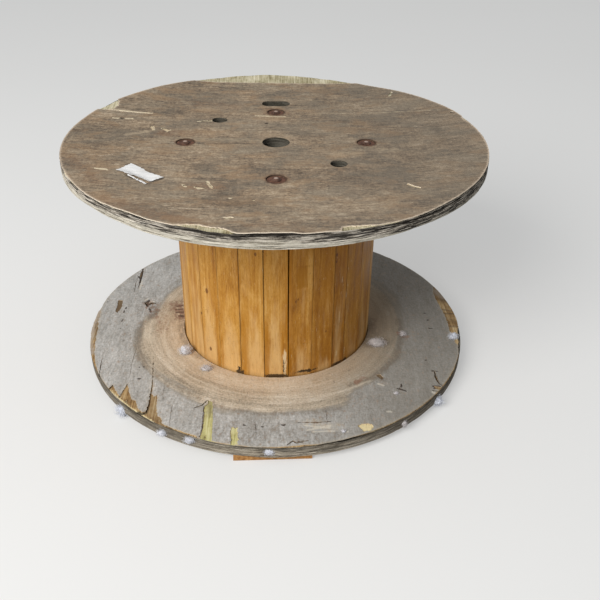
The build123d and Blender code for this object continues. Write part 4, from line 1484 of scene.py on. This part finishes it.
def stave_finish():
    """Varnished softwood: long streaks of grain, each board its own tone, with painted shade on the staves
    towards the right.
    """
    finish = Finish("varnished_pine")
    feeds = {0: finish.painted("across"), 1: finish.painted("lot"), 2: finish.z}
    wood = partial(finish.noise, place=finish.node("ShaderNodeCombineXYZ", feeds).outputs[0])
    growth = wood((60, 1, 1.6), 3, 0.5, 0.7)
    streaks = wood((240, 1, 5), 4, 0.6, 0.2)
    clouds = wood((22, 1, 7), 4, 0.6, 0.8)
    grains = wood((300, 1, 90), 3)
    tone = finish.spread(finish.blend((0.22, growth), (0.22, streaks), (0.40, clouds), (0.16, grains)), 4.2)
    light = finish.ramp(
        tone, (0.0, 0.31, 0.122, 0.011), (0.3, 0.43, 0.190, 0.024), (0.6, 0.52, 0.258, 0.048),
        (1.0, 0.63, 0.365, 0.112),
    )
    deep = finish.ramp(
        tone, (0.0, 0.17, 0.058, 0.003), (0.3, 0.29, 0.105, 0.006), (0.6, 0.39, 0.155, 0.011),
        (1.0, 0.50, 0.225, 0.028),
    )
    # The painted tone, partly painted shade on the staves towards the right, picks between the light and
    # deep ramps
    colour = finish.mix(finish.painted("tone"), light, deep)
    edge = wood((200, 1, 26))
    colour = finish.marks(colour, [
        # Pale tongues: partly thin varnish, partly painted light
        ("thin_varnish_and_light", wood((55, 1, 9), 4, 0.62, 0.3), 0.6, WOBBLE, 0.6, (0.71, 0.46, 0.205)),
        ("runs", wood((90, 1, 8), 4, 0.6, 0.3), 0.5, 1.4, 0.65, (0.37, 0.14, 0.004)),
        ("scar", edge, 0.5, WOBBLE, 0.6, (0.27, 0.095, 0.003)),
        ("blotch", edge, 0.2, WOBBLE, 0.62, (0.33, 0.130, 0.004)),
        ("bare", wood((420, 1, 40), 3), 0.15, WOBBLE, 0.72, (0.70, 0.55, 0.34)),
    ])
    colour = finish.stain(colour, finish.span(finish.painted("knot"), 0.35, 0.9), 0.8, (0.12, 0.038, 0.008))
    # Painted shade: black where the feet have chipped and gaps open into the groove
    foot_gap_shade = finish.ragged("foot_gap_shade", wood((260, 1, 260), 3), 0.2)
    colour = finish.stain(colour, foot_gap_shade, 0.97, (0.008, 0.005, 0.004))
    uneven = finish.span(wood((30, 1, 14), 3), 0.3, 0.6, 0.35, 1.0)
    seam = finish.math("MULTIPLY", finish.painted("seam"), uneven)
    colour = finish.stain(colour, seam, 0.8, (0.060, 0.026, 0.006))
    # Darker towards the foot of each stave, over the lowest 40 mm above the lower flange
    dust = finish.span(finish.plus(finish.z, clouds, 0.03), FLOOR_FACE + 6 * MM, FLOOR_FACE + 40 * MM)
    colour = finish.mix(finish.span(dust, 0.0, 1.0, 0.3, 0.0), colour, (0.22, 0.12, 0.045))
    rough = finish.span(clouds, 0.35, 0.65, 0.42, 0.62)
    return finish.done(colour, rough, finish.blend((0.6, streaks), (0.4, clouds)), 0.0006, 0.3)


def steel_finish(name, rust_low, rust_high, shine):
    """Rusty steel; the highest part of a bolt's dome gets a paler painted highlight."""
    finish = Finish(name)
    patches = finish.noise((90, 90, 90), 5, 0.65)
    grains = finish.noise((500, 500, 500), 4, 0.7)
    tone = finish.spread(finish.blend((0.6, patches), (0.4, grains)), 4)
    middle = [(a + b) / 2 for a, b in zip(rust_low, rust_high)]
    colour = finish.ramp(tone, (0.1, *rust_low), (0.5, *middle), (0.95, *rust_high))
    if shine:
        # Painted highlight on the top of the dome
        top = FACE + 2.2 * MM
        rubbed = finish.span(finish.plus(finish.z, patches, 0.0004), top, top + 1.2 * MM, 0.0, 0.8)
        colour = finish.mix(rubbed, colour, (0.50, 0.38, 0.31))
    return finish.done(colour, finish.span(tone, 0.1, 0.9, 0.5, 0.85), grains, 0.0006)


def board_finish():
    """Orange-brown sawn softwood; the grain runs along Y."""
    finish = Finish("sawn_board")
    grain = finish.noise((120, 3, 120), 5, 0.6, 0.4)
    saw = finish.noise((10, 420, 10), 2, 0.5)
    rings = finish.noise((60, 2, 190), 3, 0.5, 1.2)
    colour = finish.ramp(
        finish.blend((0.6, grain), (0.4, rings)), (0.34, 0.20, 0.085, 0.022), (0.48, 0.40, 0.19, 0.06),
        (0.6, 0.52, 0.28, 0.10), (0.74, 0.60, 0.37, 0.17),
    )
    return finish.done(colour, 0.72, finish.blend((0.6, grain), (0.4, saw)), 0.0012)


def paper_finish():
    finish = Finish("torn_paper")
    fibres = finish.noise((240, 240, 240), 5)
    dirt = finish.span(finish.noise((22, 40, 22)), 0.52, 0.78, 0.0, 0.55)
    specks = finish.span(finish.noise((130, 170, 100), 2, 0.5), 0.70, 0.76, 0.0, 0.7)
    colour = finish.mix(dirt, (0.86, 0.855, 0.85), (0.52, 0.47, 0.41))
    colour = finish.mix(specks, colour, (0.16, 0.12, 0.09))
    return finish.done(colour, 0.8, fibres, 0.0004, 0.2)


def fluff_finish():
    finish = Finish("pale_fluff")
    tufts = finish.noise((300, 300, 300))
    clean = finish.ramp(tufts, (0.35, 0.50, 0.53, 0.61), (0.6, 0.76, 0.79, 0.86))
    grey = finish.ramp(tufts, (0.35, 0.36, 0.31, 0.28), (0.6, 0.52, 0.46, 0.43))
    finish.feed(finish.shader.inputs["Subsurface Weight"], 0.25)
    finish.feed(finish.shader.inputs["Subsurface Radius"], (0.006, 0.006, 0.006))
    finish.feed(finish.shader.inputs["Sheen Weight"], 0.4)
    # Greyer where painted so: partly dust, partly painted shade
    return finish.done(finish.mix(finish.painted("dusty"), clean, grey), 0.95, specular=0.1)


def splinter_finish():
    finish = Finish("fresh_splinter")
    tone = finish.noise((90, 90, 90), 3)
    colour = finish.ramp(tone, (0.35, 0.28, 0.20, 0.11), (0.5, 0.50, 0.40, 0.25), (0.7, 0.66, 0.57, 0.40))
    return finish.done(colour, 0.85, tone, 0.0003, 0.2)


def wear(piece, material):
    """Give a piece one material."""
    piece.data.materials.clear()
    piece.data.materials.append(material)


# Stage, lamp and camera

FLOOR_HALF = 40.0
WORLD_LEVEL = 0.38
LAMP_TARGET = Vector((0, 0, 0.35))
CAMERA_PLACE = Vector((0, -2.1577, 1.5171))
CAMERA_YAW, CAMERA_PITCH, CAMERA_ROLL = 0.0358, 0.5672, 0.0158
SENSOR_WIDTH, LENS = 36, 46.56
# Bearing, elevation, distance, size, power and colour
KEY_LAMP = (-128, 34, 7.0, 3.6, 500, (1.0, 0.985, 0.96))


def add_object(name, data):
    made = bpy.data.objects.new(name, data)
    bpy.context.scene.collection.objects.link(made)
    return made


def add_floor():
    """Pale level floor that the camera sees as nearly white."""
    mesh = bpy.data.meshes.new("studio_floor")
    corners = [(x * FLOOR_HALF, y * FLOOR_HALF, 0) for x, y in ((-1, -1), (1, -1), (1, 1), (-1, 1))]
    mesh.from_pydata(corners, [], [(0, 1, 2, 3)])
    floor = add_object("studio_floor", mesh)
    finish = Finish("studio_floor")
    seen = finish.node("ShaderNodeLightPath").outputs
    pale = finish.math("MAXIMUM", seen["Is Camera Ray"], seen["Is Glossy Ray"])
    pale = finish.math("MAXIMUM", pale, seen["Is Transmission Ray"])
    shown = finish.mix(finish.noise((0.5, 0.5, 0.5), 2), (0.46, 0.46, 0.455), (0.49, 0.49, 0.485))
    near = finish.span(finish.radius(), 7.0, 30.0, 0.36, 0.20)
    finish.feed(finish.shader.inputs["Emission Color"], (1.0, 1.0, 0.99))
    finish.feed(finish.shader.inputs["Emission Strength"], finish.math("MULTIPLY", pale, near))
    wear(floor, finish.done(finish.mix(pale, (0.33, 0.32, 0.30), shown), 0.9, specular=0.0))


def add_lamp(name, bearing, elevation, distance, size, power, colour):
    """Square soft lamp that looks at the middle of the barrel."""
    tilt = math.radians(elevation)
    flat = distance * math.cos(tilt)
    place = LAMP_TARGET + Vector((*polar(flat, bearing), distance * math.sin(tilt)))
    data = bpy.data.lights.new(name, "AREA")
    data.shape = "SQUARE"
    data.size = size
    data.energy = power
    data.color = colour
    lamp = add_object(name, data)
    lamp.location = place
    lamp.rotation_euler = (LAMP_TARGET - place).to_track_quat("-Z", "Y").to_euler()


def add_world():
    world = bpy.data.worlds.new("studio")
    world.use_nodes = True
    sky = world.node_tree.nodes["Background"]
    sky.inputs["Color"].default_value = (0.96, 0.98, 1.0, 1)
    sky.inputs["Strength"].default_value = WORLD_LEVEL
    bpy.context.scene.world = world


def add_camera():
    """Camera at the photograph's place: about 1.5 m up, 2.2 m before the drum's axis."""
    yaw, pitch, roll = CAMERA_YAW, CAMERA_PITCH, CAMERA_ROLL
    forward = Vector((math.sin(yaw) * math.cos(pitch), math.cos(yaw) * math.cos(pitch), -math.sin(pitch)))
    level_right = Vector((math.cos(yaw), -math.sin(yaw), 0))
    level_up = level_right.cross(forward)
    right = math.cos(roll) * level_right + math.sin(roll) * level_up
    up = -math.sin(roll) * level_right + math.cos(roll) * level_up
    data = bpy.data.cameras.new("camera")
    data.sensor_width = SENSOR_WIDTH
    data.lens = LENS
    camera = add_object("camera", data)
    axes = Matrix((right, up, -forward)).transposed()
    camera.matrix_world = Matrix.Translation(CAMERA_PLACE) @ axes.to_4x4()
    bpy.context.scene.camera = camera


# Putting it together

add_camera()
add_world()
add_lamp("key", *KEY_LAMP)
add_floor()

top_body, top_veneer = make_top_flange()
wear(top_body, body_finish("upper_plywood", True))
wear(top_veneer, top_veneer_finish())

bottom_body, bottom_veneer = make_bottom_flange()
wear(bottom_body, body_finish("lower_plywood", False))
wear(bottom_veneer, lower_veneer_finish())

pine = stave_finish()
stave_lots = np.random.default_rng(STAVE_LOTS_SEED)
for number in range(STAVES):
    wear(make_stave(number, stave_lots), pine)

paper = paper_finish()
wear(make_paper("torn_paper_label", LABEL_CORNERS, 92, 26, 14, True), paper)
wear(make_paper("torn_paper_strip", STRIP_CORNERS, 192, 22, 3, False), paper)
fluff = fluff_finish()
for number, tuft in enumerate(TUFTS):
    wear(make_fluff(number, tuft[:3], tuft[3:6], tuft[6]), fluff)
wear(make_splinters(), splinter_finish())

washer_steel = steel_finish("rusty_washer", (0.050, 0.022, 0.014), (0.205, 0.098, 0.062), False)
bolt_steel = steel_finish("rusty_bolt", (0.035, 0.016, 0.011), (0.15, 0.080, 0.055), True)
for name, node in frame["nodes"].items():
    if "washer" in name:
        wear(node, washer_steel)
    elif name.startswith(("bolt_", "nut_")):
        wear(node, bolt_steel)
wear(frame["nodes"]["bearer_board"], board_finish())

bpy.context.scene.view_settings.view_transform = "Standard"
